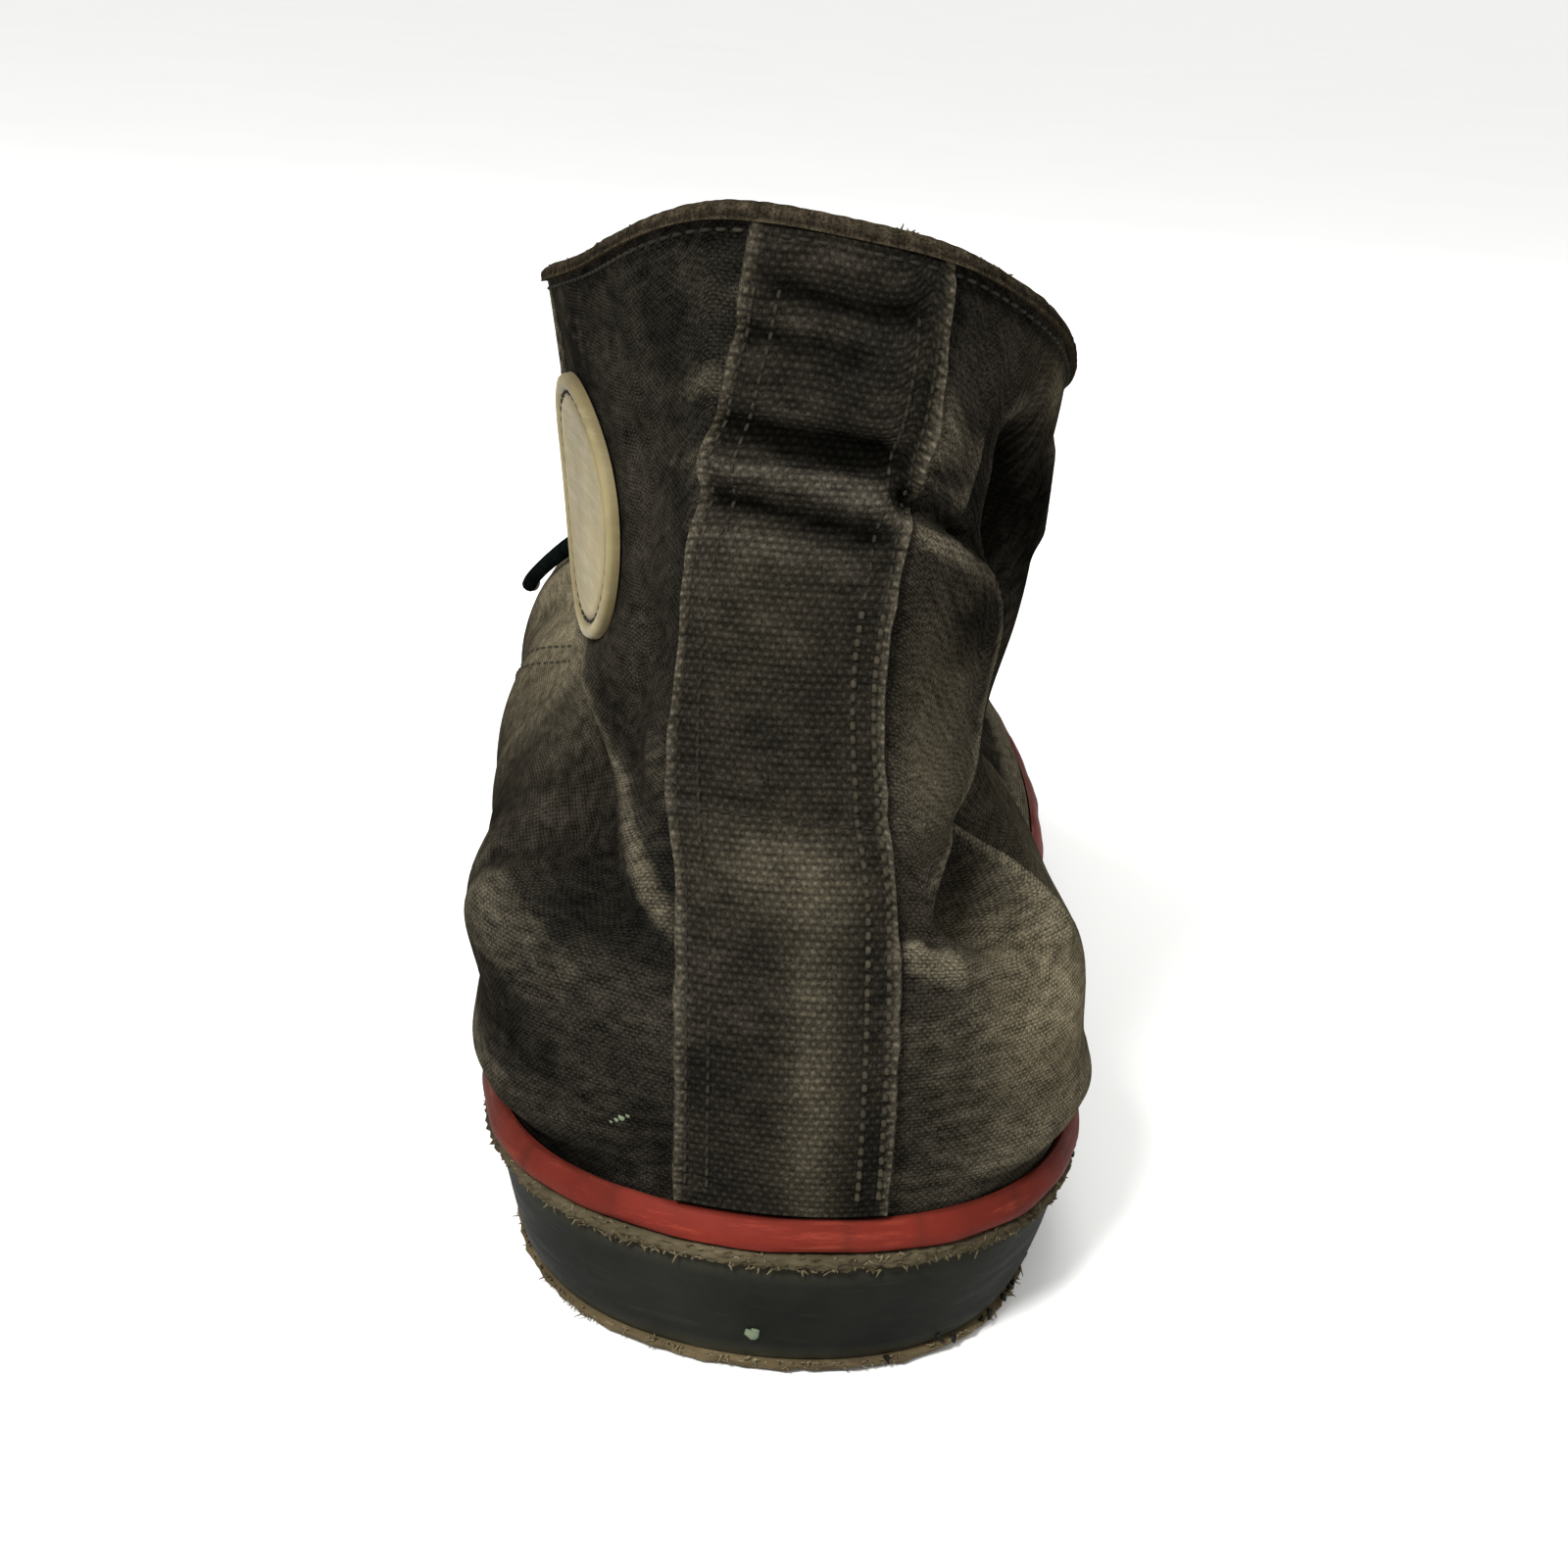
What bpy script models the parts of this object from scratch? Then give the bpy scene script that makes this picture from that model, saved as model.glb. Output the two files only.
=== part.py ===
"""Canvas high-top basketball shoe for the right foot, standing empty on its sole.

Sizes are in millimetres. x runs to the outer (lateral) side, y from the heel to the toe, z up.
The upper is one sheet of canvas: station s runs round the foot, from 0 at the back of the heel to
+1 at the toe by the lateral side and -1 by the medial side, and rise q runs up the sheet, from 0 at
the top of the red stripe to 1 at the collar and throat edge.
"""

import math

import bpy
import numpy as np
from mathutils import Matrix, Vector

MM = 0.001
GAP = 0.3

# Driving sizes of the sole
LENGTH = 304.0
HEEL_LATERAL = 41.2
HEEL_MEDIAL = 44.8
BALL_LATERAL = 48.0
BALL_MEDIAL = 53.0
WAIST_LATERAL = 43.0
WAIST_MEDIAL = 43.0
TOE_SPRING = 10.0
SPRING_START = 0.62
ARCH_RISE = 1.6
ARCH_FROM, ARCH_TO = 0.30, 0.52
BED = 11.0
INSOLE_THICK = 3.0
FOXING_LOW, FOXING_TOP = 1.8, 16.6
CLOTH_TOP = 19.2
STRIPE_TOP = 23.6
FOXING_STEP = 1.2
FOXING_THICK = 2.2
CLOTH_STEP = 0.5
CLOTH_THICK = 2.4
STRIPE_THICK = 2.2
TAPER_SIDE, TAPER_REAR, TAPER_TOE = 5.5, 2.5, 4.0

# Driving sizes of the upper
WALL = 2.0
FEATHER = -0.2
COLLAR_CORNER = 0.36
ARCH_END = math.radians(70)
ARCH_POWER = 0.74
BLEND_LATERAL = (0.46, 0.74)
BLEND_MEDIAL = (0.36, 0.60)

STRIP_LOW, STRIP_HIGH = 27.3, 23.6
STRIP_LEAN = [(0.0, -1.3), (0.35, -2.8), (0.7, -3.2), (1.0, 0.8)]
STRIP_THICK, STRIP_GAP = 1.2, 0.5
STRIP_END = 0.945
BINDING_FROM = 0.957
BINDING_THICK = 1.0
PATCH_STATION, PATCH_RISE = -0.285, 0.705
PATCH_RADIUS, PATCH_THICK, PATCH_GAP = 19.5, 1.4, 0.8
TONGUE_THICK, TONGUE_CROWN = 2.0, 3.0
TONGUE_FREE, TONGUE_TIP = 0.44, 26.0
TONGUE_ROOT, TONGUE_NARROW = (0.0, 16.0, -7.5), 0.35
EYELETS_A_SIDE = 7
EYELET_INSET = 0.130
EYELET_FIRST, EYELET_LAST = 0.80, 0.42
EYELET_HOLE, EYELET_BORE, EYELET_BARREL, EYELET_RIM = 3.5, 2.1, 2.8, 4.1
EYELET_SEAT = 0.9
LACE_ROWS = 4
LACE_WIDE, LACE_THICK = 4.4, 2.2
LACE_LIFT = 1.5
LACE_OUT, LACE_CROWN, LACE_BAR = 0.100, 1.4, 0.03
LACE_END_RADIUS = 1.8
AGLET_RADIUS, AGLET_LENGTH = 1.6, 17.0

# Rows of mesh up the upper, closest where it folds
RISES = [0.07, 0.14, 0.21, 0.27, 0.32, 0.37, 0.42, 0.50, 0.60, 0.70, 0.775, 0.83, 0.90]

# Outline of the stripe: share of the length, then lateral and medial half-widths as shares
# of the named widths
OUTLINE = [
    # along, lateral, medial
    (0.000, 0.0, 0.0),
    (0.010, 0.38 * HEEL_LATERAL, 0.38 * HEEL_MEDIAL),
    (0.045, 0.74 * HEEL_LATERAL, 0.74 * HEEL_MEDIAL),
    (0.110, 0.96 * HEEL_LATERAL, 0.96 * HEEL_MEDIAL),
    (0.200, 1.00 * HEEL_LATERAL, 1.00 * HEEL_MEDIAL),
    (0.370, 1.00 * WAIST_LATERAL, 1.00 * WAIST_MEDIAL),
    (0.500, 0.97 * BALL_LATERAL, 0.88 * BALL_MEDIAL),
    (0.620, 1.00 * BALL_LATERAL, 0.98 * BALL_MEDIAL),
    (0.760, 0.92 * BALL_LATERAL, 1.00 * BALL_MEDIAL),
    (0.880, 0.73 * BALL_LATERAL, 0.90 * BALL_MEDIAL),
    (0.962, 0.41 * BALL_LATERAL, 0.63 * BALL_MEDIAL),
    (1.000, -7.0, 7.0),
]

# Collar edge from the back to the throat corner, then the throat edge down to the vamp point
COLLAR = [
    # station, lateral x y z, medial x y z
    (0.00, (-2.0, 12.5, 147.5), (-2.0, 12.5, 147.5)),
    (0.08, (13.0, 15.5, 142.5), (-17.0, 15.5, 145.5)),
    (0.16, (22.5, 30.0, 135.0), (-28.5, 29.0, 141.0)),
    (0.26, (29.0, 55.0, 125.5), (-37.0, 54.0, 134.5)),
    (0.36, (31.0, 86.0, 117.0), (-41.5, 79.0, 129.5)),
]
THROAT = [
    # station, lateral x y z, medial x y z
    (0.36, (31.0, 86.0, 117.0), (-41.5, 79.0, 129.5)),
    (0.46, (22.5, 117.0, 102.5), (-27.5, 114.0, 108.0)),
    (0.60, (16.0, 157.0, 84.0), (-19.0, 157.0, 85.0)),
    (0.80, (12.0, 192.0, 69.0), (-15.0, 192.0, 69.0)),
    (0.92, (6.5, 203.0, 65.0), (-10.0, 203.0, 65.0)),
    (1.00, (-1.8, 207.0, 63.5), (-1.8, 207.0, 63.5)),
]

# Sections of the heel and shaft: how far up, how far in plan from the sole's outline to the
# collar's, and how far out of that line at the back, the lateral side and the medial side
SHAFT = [
    # rise, drift, back, lateral, medial
    (0.00, 0.00, 0.0, 0.0, 0.0),
    (0.14, 0.02, 2.4, 1.4, 3.4),
    (0.27, 0.14, 2.0, 0.6, 3.6),
    (0.37, 0.46, 0.6, -3.6, -2.0),
    (0.47, 0.84, 0.2, -5.2, -5.6),
    (0.62, 0.98, 0.4, -4.0, -6.4),
    (0.78, 1.00, -0.6, -2.4, -4.6),
    (0.90, 1.00, 0.2, -1.0, -1.8),
    (1.00, 1.00, 0.0, 0.0, 0.0),
]

# Main folds of the slack canvas: a soft trough (negative depth) or ridge
FOLDS = [
    # station, reach, rise, breadth, tilt, depth
    (0.115, 0.075, 0.375, 0.060, 0.55, -8.5),
    (0.175, 0.070, 0.190, 0.075, 0.40, 1.0),
    (-0.125, 0.080, 0.380, 0.065, -0.60, -7.5),
    (-0.170, 0.080, 0.255, 0.080, -0.40, 2.2),
    (0.010, 0.070, 0.775, 0.035, 0.20, -2.6),
    (0.500, 0.230, 0.340, 0.240, 0.00, -11.0),
    (-0.430, 0.120, 0.190, 0.170, 0.00, 6.5),
    (-0.660, 0.180, 0.220, 0.240, 0.00, 4.5),
]

# Course of the lace's free end over the medial side of the vamp
LACE_END = [
    # station, rise, lift
    (-0.570, 0.800, 3.0),
    (-0.550, 0.660, 2.5),
    (-0.570, 0.490, 2.5),
    (-0.640, 0.340, 2.5),
    (-0.730, 0.230, 2.8),
]

COLORS = {
    "canvas": (0.045, 0.041, 0.036, 1.0),
    "webbing": (0.055, 0.050, 0.044, 1.0),
    "lining": (0.150, 0.125, 0.080, 1.0),
    "black rubber": (0.022, 0.024, 0.024, 1.0),
    "red rubber": (0.320, 0.022, 0.016, 1.0),
    "cloth tape": (0.280, 0.230, 0.150, 1.0),
    "sole rubber": (0.240, 0.180, 0.110, 1.0),
    "patch": (0.420, 0.370, 0.200, 1.0),
    "enamel": (0.020, 0.020, 0.020, 1.0),
    "lace": (0.010, 0.016, 0.015, 1.0),
    "aglet": (0.330, 0.300, 0.200, 1.0),
}


def material(name, roughness=0.85, metallic=0.0):
    made = bpy.data.materials.new(name)
    made.use_nodes = True
    shader = made.node_tree.nodes["Principled BSDF"]
    shader.inputs["Base Color"].default_value = COLORS[name]
    shader.inputs["Roughness"].default_value = roughness
    shader.inputs["Metallic"].default_value = metallic
    return made


def smoothstep(low, high, value):
    t = np.clip((value - low) / (high - low), 0.0, 1.0)
    return t * t * (3.0 - 2.0 * t)


def curve_through(knots, points, where):
    """Values at where of the smooth curve through points at the knots (natural cubic spline)."""
    knots = np.asarray(knots, float)
    points = np.asarray(points, float)
    if points.ndim == 1:
        points = points[:, None]
    count = len(knots)
    step = np.diff(knots)
    system = np.eye(count)
    right = np.zeros_like(points)
    for i in range(1, count - 1):
        system[i, i - 1 : i + 2] = step[i - 1], 2.0 * (step[i - 1] + step[i]), step[i]
        slopes = (points[i + 1] - points[i]) / step[i] - (points[i] - points[i - 1]) / step[i - 1]
        right[i] = 6.0 * slopes
    bend = np.linalg.solve(system, right)
    where = np.clip(np.asarray(where, float), knots[0], knots[-1])
    at = np.clip(np.searchsorted(knots, where, side="right") - 1, 0, count - 2)
    width = step[at][..., None]
    after = (where - knots[at])[..., None]
    before = width - after
    return (
        bend[at] * before**3 / (6 * width)
        + bend[at + 1] * after**3 / (6 * width)
        + (points[at] / width - bend[at] * width / 6) * before
        + (points[at + 1] / width - bend[at + 1] * width / 6) * after
    )


def outline_table(count=721):
    """Dense outline: signed stations, plan points and outward plan normals."""
    lateral = [(x, a * LENGTH) for a, x, _ in OUTLINE]
    medial = [(-x, a * LENGTH) for a, _, x in OUTLINE]
    loop = np.array(lateral + medial[-2::-1])
    turns = np.vstack([loop[:-1]] * 3 + [loop[:1]])
    knots = np.r_[0.0, np.cumsum(np.hypot(*np.diff(turns, axis=0).T))]
    once = len(loop) - 1
    fine = np.linspace(knots[once], knots[2 * once], 6001)
    dense = curve_through(knots, turns, fine)
    arc = np.r_[0.0, np.cumsum(np.hypot(*np.diff(dense, axis=0).T))]
    toe = int(dense[:, 1].argmax())
    back_home = -(arc[-1] - arc) / (arc[-1] - arc[toe])
    signed = np.where(np.arange(len(arc)) <= toe, arc / arc[toe], back_home)
    order = np.argsort(signed, kind="stable")
    stations = np.linspace(-1.0, 1.0, count)
    x, y = (np.interp(stations, signed[order], dense[order, k]) for k in (0, 1))
    run = np.c_[np.gradient(x), np.gradient(y)]
    run[0] = run[-1] = np.array([-1.0, 0.0])
    run /= np.hypot(*run.T)[:, None]
    return stations, np.c_[x, y], np.c_[run[:, 1], -run[:, 0]]


STATIONS, EDGE, EDGE_NORMAL = outline_table()


def edge(s, offset=0.0):
    """Plan point of the outline at station s, moved out by offset."""
    point = np.stack([np.interp(s, STATIONS, EDGE[:, k]) for k in (0, 1)], -1)
    return point + edge_normal(s) * np.asarray(offset, float)[..., None]


def edge_normal(s):
    normal = np.stack([np.interp(s, STATIONS, EDGE_NORMAL[:, k]) for k in (0, 1)], -1)
    return normal / np.linalg.norm(normal, axis=-1, keepdims=True)


def spring(y):
    """Lift of the sole ahead of the ball."""
    return TOE_SPRING * np.clip((y / LENGTH - SPRING_START) / (1.0 - SPRING_START), 0.0, 1.0) ** 2


def arch(y):
    """Hollow of the outsole under the waist."""
    along = y / LENGTH
    rise = smoothstep(ARCH_FROM, (ARCH_FROM + ARCH_TO) / 2, along)
    fall = smoothstep((ARCH_FROM + ARCH_TO) / 2, ARCH_TO, along)
    return ARCH_RISE * (rise - fall)


def side_offset(s, height):
    """How far the sole's side lies inside the outline at a height: it leans in to the floor."""
    normal = edge_normal(s)
    ends = np.where(normal[..., 1] < 0, TAPER_REAR, TAPER_TOE)
    taper = ends + (TAPER_SIDE - ends) * normal[..., 0] ** 2
    return -taper * np.clip(1.0 - np.asarray(height, float) / CLOTH_TOP, 0.0, 1.0) - FOXING_STEP


def top_edge(s):
    """Collar and throat edge of the upper at station s."""
    share = np.abs(s)
    sides = []
    for column, mirror in ((1, 1.0), (2, -1.0)):
        collar = [np.array(row[column]) for row in COLLAR]
        other = [np.array(row[3 - column]) for row in COLLAR[:0:-1]]
        knots = [-row[0] for row in COLLAR[:0:-1]] + [row[0] for row in COLLAR]
        on_collar = curve_through(knots, other + collar, share)
        throat = [np.array(row[column]) for row in THROAT]
        beyond = [np.array(row[3 - column]) for row in THROAT[-2:0:-1]]
        knots = [row[0] for row in THROAT] + [2.0 - row[0] for row in THROAT[-2:0:-1]]
        on_throat = curve_through(knots, throat + beyond, share)
        sides.append(np.where((share <= COLLAR_CORNER)[..., None], on_collar, on_throat))
    return np.where((np.asarray(s) >= 0)[..., None], sides[0], sides[1])


def upper_point(s, q):
    """Outer face of the upper at station s and rise q."""
    s, q = np.broadcast_arrays(np.asarray(s, float), np.asarray(q, float))
    share = np.abs(s)
    top = top_edge(s)
    foot = edge(s, np.full(s.shape, -STRIPE_THICK - GAP))
    base = np.concatenate([foot, (STRIPE_TOP + spring(foot[..., 1]))[..., None]], -1)
    rise = np.clip(q, 0.0, 1.0)

    rows = np.array(SHAFT)
    drift, back, lateral, medial = np.moveaxis(curve_through(rows[:, 0], rows[:, 1:], rise), -1, 0)
    shaft = base + (top - base) * np.stack([drift, drift, rise], -1)
    outward = edge_normal(s)
    side = np.where(s >= 0, lateral, medial)
    out = back + (side - back) * outward[..., 0] ** 2
    shaft[..., :2] += outward * out[..., None]

    angle = rise * ARCH_END
    inward = (1 - np.cos(angle) ** ARCH_POWER) / (1 - math.cos(ARCH_END) ** ARCH_POWER)
    upward = np.sin(angle) ** ARCH_POWER / math.sin(ARCH_END) ** ARCH_POWER
    vamp = base + (top - base) * np.stack([inward, inward, upward], -1)

    blend = np.where(s >= 0, smoothstep(*BLEND_LATERAL, share), smoothstep(*BLEND_MEDIAL, share))
    point = shaft + (vamp - shaft) * blend[..., None]
    fold = np.zeros(s.shape)
    for station, reach, height, breadth, tilt, depth in FOLDS:
        across = (s - station) / reach
        up = (rise - height - tilt * (s - station)) / breadth
        fold += depth * np.exp(-(across**2) - up**2)
    fold *= smoothstep(0.0, 0.12, rise)
    point[..., :2] += outward * fold[..., None]

    # Below the stripe's top the sheet follows the inside of the foxing down to the bed
    down = np.clip(q / FEATHER, 0.0, 1.0)
    height = STRIPE_TOP + (BED + GAP - STRIPE_TOP) * down
    inset = side_offset(s, height) + FOXING_STEP - STRIPE_THICK - GAP
    tucked = edge(s, np.minimum(inset, -STRIPE_THICK - GAP) - FOXING_STEP * smoothstep(0.0, 0.5, down))
    tucked = np.concatenate([tucked, (height + spring(tucked[..., 1]))[..., None]], -1)
    return np.where((q < 0)[..., None], tucked, point)


def upper_normal(s, q):
    """Outward normal of the upper's outer face."""
    step_s, step_q = 0.004, 0.012
    along = upper_point(wrap(s + step_s), q) - upper_point(wrap(s - step_s), q)
    up = upper_point(s, np.minimum(q + step_q, 1.0)) - upper_point(s, np.maximum(q - step_q, FEATHER))
    normal = np.cross(along, up)
    return normal / np.linalg.norm(normal, axis=-1, keepdims=True)


def wrap(s):
    """Stations past the toe come back on the other side."""
    return (np.asarray(s, float) + 1.0) % 2.0 - 1.0


def upper_at(s, q, lift=0.0):
    """A point lifted off the upper's outer face along its normal."""
    s, q = np.broadcast_arrays(np.asarray(s, float), np.asarray(q, float))
    return upper_point(s, q) + upper_normal(s, q) * np.asarray(lift, float)[..., None]


def new_object(name, points, faces, look, parent, smooth_angle=50):
    mesh = bpy.data.meshes.new(name)
    mesh.from_pydata((np.asarray(points) * MM).tolist(), [], faces)
    mesh.validate()
    mesh.shade_smooth()
    mesh.set_sharp_from_angle(angle=math.radians(smooth_angle))
    mesh.materials.append(look)
    made = bpy.data.objects.new(name, mesh)
    bpy.context.scene.collection.objects.link(made)
    made.parent = parent
    return made


def grid_faces(rows, columns, closed, start=0, flip=False):
    """Quads of a grid stored row by row, closed round its columns or not."""
    faces = []
    for r in range(rows - 1):
        for c in range(columns if closed else columns - 1):
            d = (c + 1) % columns
            quad = (r * columns + c, r * columns + d, (r + 1) * columns + d, (r + 1) * columns + c)
            quad = tuple(start + i for i in quad)
            faces.append(quad[::-1] if flip else quad)
    return faces


def sheet_solid(outer, inner, closed):
    """Closed solid between two grids of the same shape: outer and inner faces and their rims."""
    rows, columns = outer.shape[:2]
    count = rows * columns
    points = np.vstack([outer.reshape(-1, 3), inner.reshape(-1, 3)])
    faces = grid_faces(rows, columns, closed) + grid_faces(rows, columns, closed, count, True)
    rim = list(range(columns)) + ([0] if closed else [])
    for a, b in zip(rim[:-1], rim[1:]):
        last = (rows - 1) * columns
        faces.append((b, a, a + count, b + count))
        faces.append((last + a, last + b, last + b + count, last + a + count))
    if not closed:
        for r in range(rows - 1):
            left, right = r * columns, r * columns + columns - 1
            faces.append((left, left + columns, left + columns + count, left + count))
            faces.append((right + columns, right, right + count, right + columns + count))
    return points, faces


def loop_stations():
    """Stations of the columns of mesh round the foot, closest at the heel and the toe."""
    half = np.r_[0.0, 0.014, 0.028, 0.042, 0.058, 0.078, 0.10, 0.125, 0.15, 0.18, 0.21, 0.24, 0.27]
    half = np.r_[half, 0.30, 0.33]
    half = np.r_[half, np.linspace(COLLAR_CORNER, 0.82, 9), 0.88, 0.93, 0.97, 1.0]
    return np.r_[half, -half[-2:0:-1]]


def band(name, section, look, parent):
    """Closed ring that follows the outline, from a section of (offset, height) pairs, each a
    function of the station."""
    s = loop_stations()
    rows = []
    for offset, height in section(s):
        plan = edge(s, offset)
        rows.append(np.c_[plan, height + spring(plan[:, 1])])
    grid = np.array(rows + rows[:1])
    columns = len(s)
    faces = grid_faces(len(grid), columns, True)
    wrapped = [tuple(i % (len(rows) * columns) for i in quad) for quad in faces]
    return new_object(name, np.vstack(rows), wrapped, look, parent)


def plate(name, rings, look, parent):
    """Solid from a stack of closed rings, filled at its lowest and highest."""
    columns = len(rings[0])
    points = np.vstack(rings)
    faces = grid_faces(len(rings), columns, True)
    for level, flip in ((0, True), (len(rings) - 1, False)):
        ring = [level * columns + i for i in range(columns)]
        faces += strip_cap(ring, flip)
    return new_object(name, points, faces, look, parent, 30)


def strip_cap(ring, flip):
    """Quads across a ring from one side of the foot to the other, heel to toe."""
    count = len(ring)
    faces = []
    for i in range(count // 2):
        quad = [ring[i], ring[i + 1], ring[(count - i - 1) % count], ring[(count - i) % count]]
        corners = tuple(dict.fromkeys(quad))
        if len(corners) > 2:
            faces.append(corners[::-1] if flip else corners)
    return faces


def make_outsole(parent):
    s = loop_stations()
    foot_inset = side_offset(s, np.zeros(len(s)))
    edge_inset = side_offset(s, np.full(len(s), FOXING_LOW))
    core_low = edge_inset - FOXING_THICK - GAP
    core_top = side_offset(s, np.full(len(s), BED)) - FOXING_THICK - GAP

    def ring(offset, height, hollow):
        plan = edge(s, offset)
        lift = spring(plan[:, 1]) + (arch(plan[:, 1]) if hollow else 0.0)
        return np.c_[plan, height + lift]

    rings = [
        ring(foot_inset - 1.0, 0.0, True),
        ring(foot_inset, 0.6, True),
        ring(edge_inset + 0.1, FOXING_LOW - GAP, False),
        ring(core_low, FOXING_LOW - GAP, False),
        ring(core_top, BED, False),
    ]
    return plate("outsole", rings, material("sole rubber"), parent)


def make_foxing(parent):
    def section(s):
        low = side_offset(s, np.full(len(s), FOXING_LOW))
        middle = side_offset(s, np.full(len(s), (FOXING_LOW + FOXING_TOP) / 2))
        top = side_offset(s, np.full(len(s), FOXING_TOP))
        return [
            (low, FOXING_LOW),
            (middle, (FOXING_LOW + FOXING_TOP) / 2),
            (top, FOXING_TOP),
            (top - FOXING_THICK, FOXING_TOP),
            (low - FOXING_THICK, FOXING_LOW),
        ]

    return band("foxing", section, material("black rubber", 0.55), parent)


def make_cloth_tape(parent):
    def section(s):
        low = side_offset(s, np.full(len(s), FOXING_TOP)) + FOXING_STEP - CLOTH_STEP
        top = side_offset(s, np.full(len(s), CLOTH_TOP)) + FOXING_STEP - CLOTH_STEP
        return [
            (low, FOXING_TOP + GAP),
            (top, CLOTH_TOP - GAP),
            (top - CLOTH_THICK, CLOTH_TOP - GAP),
            (low - CLOTH_THICK, FOXING_TOP + GAP),
        ]

    return band("cloth_tape", section, material("cloth tape", 0.95), parent)


def make_red_stripe(parent):
    middle = (CLOTH_TOP + STRIPE_TOP) / 2

    def section(s):
        flat = np.zeros(len(s))
        return [
            (flat - 1.5, CLOTH_TOP),
            (flat - 0.3, CLOTH_TOP + 0.9),
            (flat, middle - 0.6),
            (flat - 0.5, STRIPE_TOP - 1.2),
            (flat - STRIPE_THICK, STRIPE_TOP),
            (flat - STRIPE_THICK, CLOTH_TOP),
        ]

    return band("red_stripe", section, material("red rubber", 0.5), parent)


def make_insole(parent):
    s = loop_stations()
    inner = upper_at(s, np.full(len(s), FEATHER), np.full(len(s), -WALL - 2 * GAP))
    rings = []
    for height in (BED + GAP, BED + GAP + INSOLE_THICK):
        ring = inner.copy()
        ring[:, 2] = height + spring(ring[:, 1])
        rings.append(ring)
    return plate("insole", rings, material("lining", 0.9), parent)


def make_upper(parent):
    s = loop_stations()
    q = np.r_[FEATHER, -0.06, 0.0, RISES, BINDING_FROM, 1.0]
    stations, rises = np.meshgrid(s, q)
    outer = upper_at(stations, rises)
    inner = upper_at(stations, rises, np.full(stations.shape, -WALL))
    inner[0, :, 2] = outer[0, :, 2]
    points, faces = sheet_solid(outer, inner, True)
    return new_object("upper", points, faces, material("canvas", 0.95), parent)


def make_heel_strip(parent):
    """Webbing down the back, of a given width on the upper's face."""
    q = np.r_[0.012, RISES, STRIP_END]
    step = 0.01
    stretch = np.linalg.norm(upper_point(step, q) - upper_point(-step, q), axis=-1) / (2 * step)
    width = STRIP_LOW + (STRIP_HIGH - STRIP_LOW) * q
    rises, across = np.meshgrid(q, np.linspace(-0.5, 0.5, 7), indexing="ij")
    lean = curve_through(*zip(*STRIP_LEAN), q)[:, 0]
    stations = (across * width[:, None] + lean[:, None]) / stretch[:, None]
    flat = np.ones(stations.shape)
    outer = upper_at(stations, rises, flat * (STRIP_GAP + STRIP_THICK))
    inner = upper_at(stations, rises, flat * STRIP_GAP)
    points, faces = sheet_solid(outer, inner, False)
    return new_object("heel_strip", points, faces, material("webbing", 0.95), parent)


def make_collar_binding(parent):
    """Folded tape over the collar: a channel that the upper's edge sits in."""
    s = np.linspace(-COLLAR_CORNER, COLLAR_CORNER, 33)
    s[0], s[-1] = s[0] + 0.003, s[-1] - 0.003
    low = np.full(len(s), BINDING_FROM)
    rim = np.ones(len(s))
    up = upper_point(s, rim) - upper_point(s, rim - 0.03)
    up /= np.linalg.norm(up, axis=-1, keepdims=True)
    near, far = GAP, GAP + BINDING_THICK
    rows = [
        upper_at(s, low, rim * far),
        upper_at(s, rim, rim * far) + up * near,
        upper_at(s, rim, rim * (near - WALL / 2)) + up * far,
        upper_at(s, rim, rim * (-WALL - far)) + up * near,
        upper_at(s, low, rim * (-WALL - far)),
        upper_at(s, low, rim * (-WALL - near)),
        upper_at(s, rim, rim * (-WALL - near)) + up * near,
        upper_at(s, rim, rim * near) + up * near,
        upper_at(s, low, rim * near),
    ]
    sections = np.array(rows).transpose(1, 0, 2)
    count, sides = sections.shape[:2]
    faces = grid_faces(count, sides, True, flip=True)
    faces.append(tuple(range(sides)))
    faces.append(tuple((count - 1) * sides + i for i in range(sides))[::-1])
    return new_object("collar_binding", sections.reshape(-1, 3), faces, material("lining", 0.95), parent)


def make_ankle_patch(parent):
    """Round patch on the medial ankle: rings of points on the upper's face."""
    step = 0.01
    centre = upper_point(PATCH_STATION, PATCH_RISE)
    across = (upper_point(PATCH_STATION + step, PATCH_RISE) - centre) / step
    up = (upper_point(PATCH_STATION, PATCH_RISE + step) - centre) / step
    frame = np.array([[across @ across, across @ up], [across @ up, up @ up]])
    unit_up = up / np.linalg.norm(up)
    unit_across = across - unit_up * (across @ unit_up)
    unit_across /= np.linalg.norm(unit_across)
    turn = np.linspace(0, 2 * math.pi, 28, endpoint=False)
    radii = np.array([1.0, 0.7, 0.35]) * PATCH_RADIUS
    rings = []
    for radius in radii:
        offsets = radius * (np.cos(turn)[:, None] * unit_across + np.sin(turn)[:, None] * unit_up)
        shift = np.linalg.solve(frame, np.stack([offsets @ across, offsets @ up]))
        rings.append((PATCH_STATION + shift[0], PATCH_RISE + shift[1]))
    s, q = (np.array([ring[k] for ring in rings]) for k in (0, 1))
    flat = np.ones(s.shape)
    outer = upper_at(s, q, flat * (PATCH_GAP + PATCH_THICK))
    inner = upper_at(s, q, flat * PATCH_GAP)
    points, faces = sheet_solid(outer, inner, True)
    count, inmost = len(turn), (len(radii) - 1) * len(turn)
    faces = [f for f in faces if min(i % s.size for i in f) < inmost]
    faces.append(tuple(inmost + i for i in range(count)))
    faces.append(tuple(s.size + inmost + i for i in range(count))[::-1])
    return new_object("ankle_patch", points, faces, material("patch", 0.7), parent)


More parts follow.
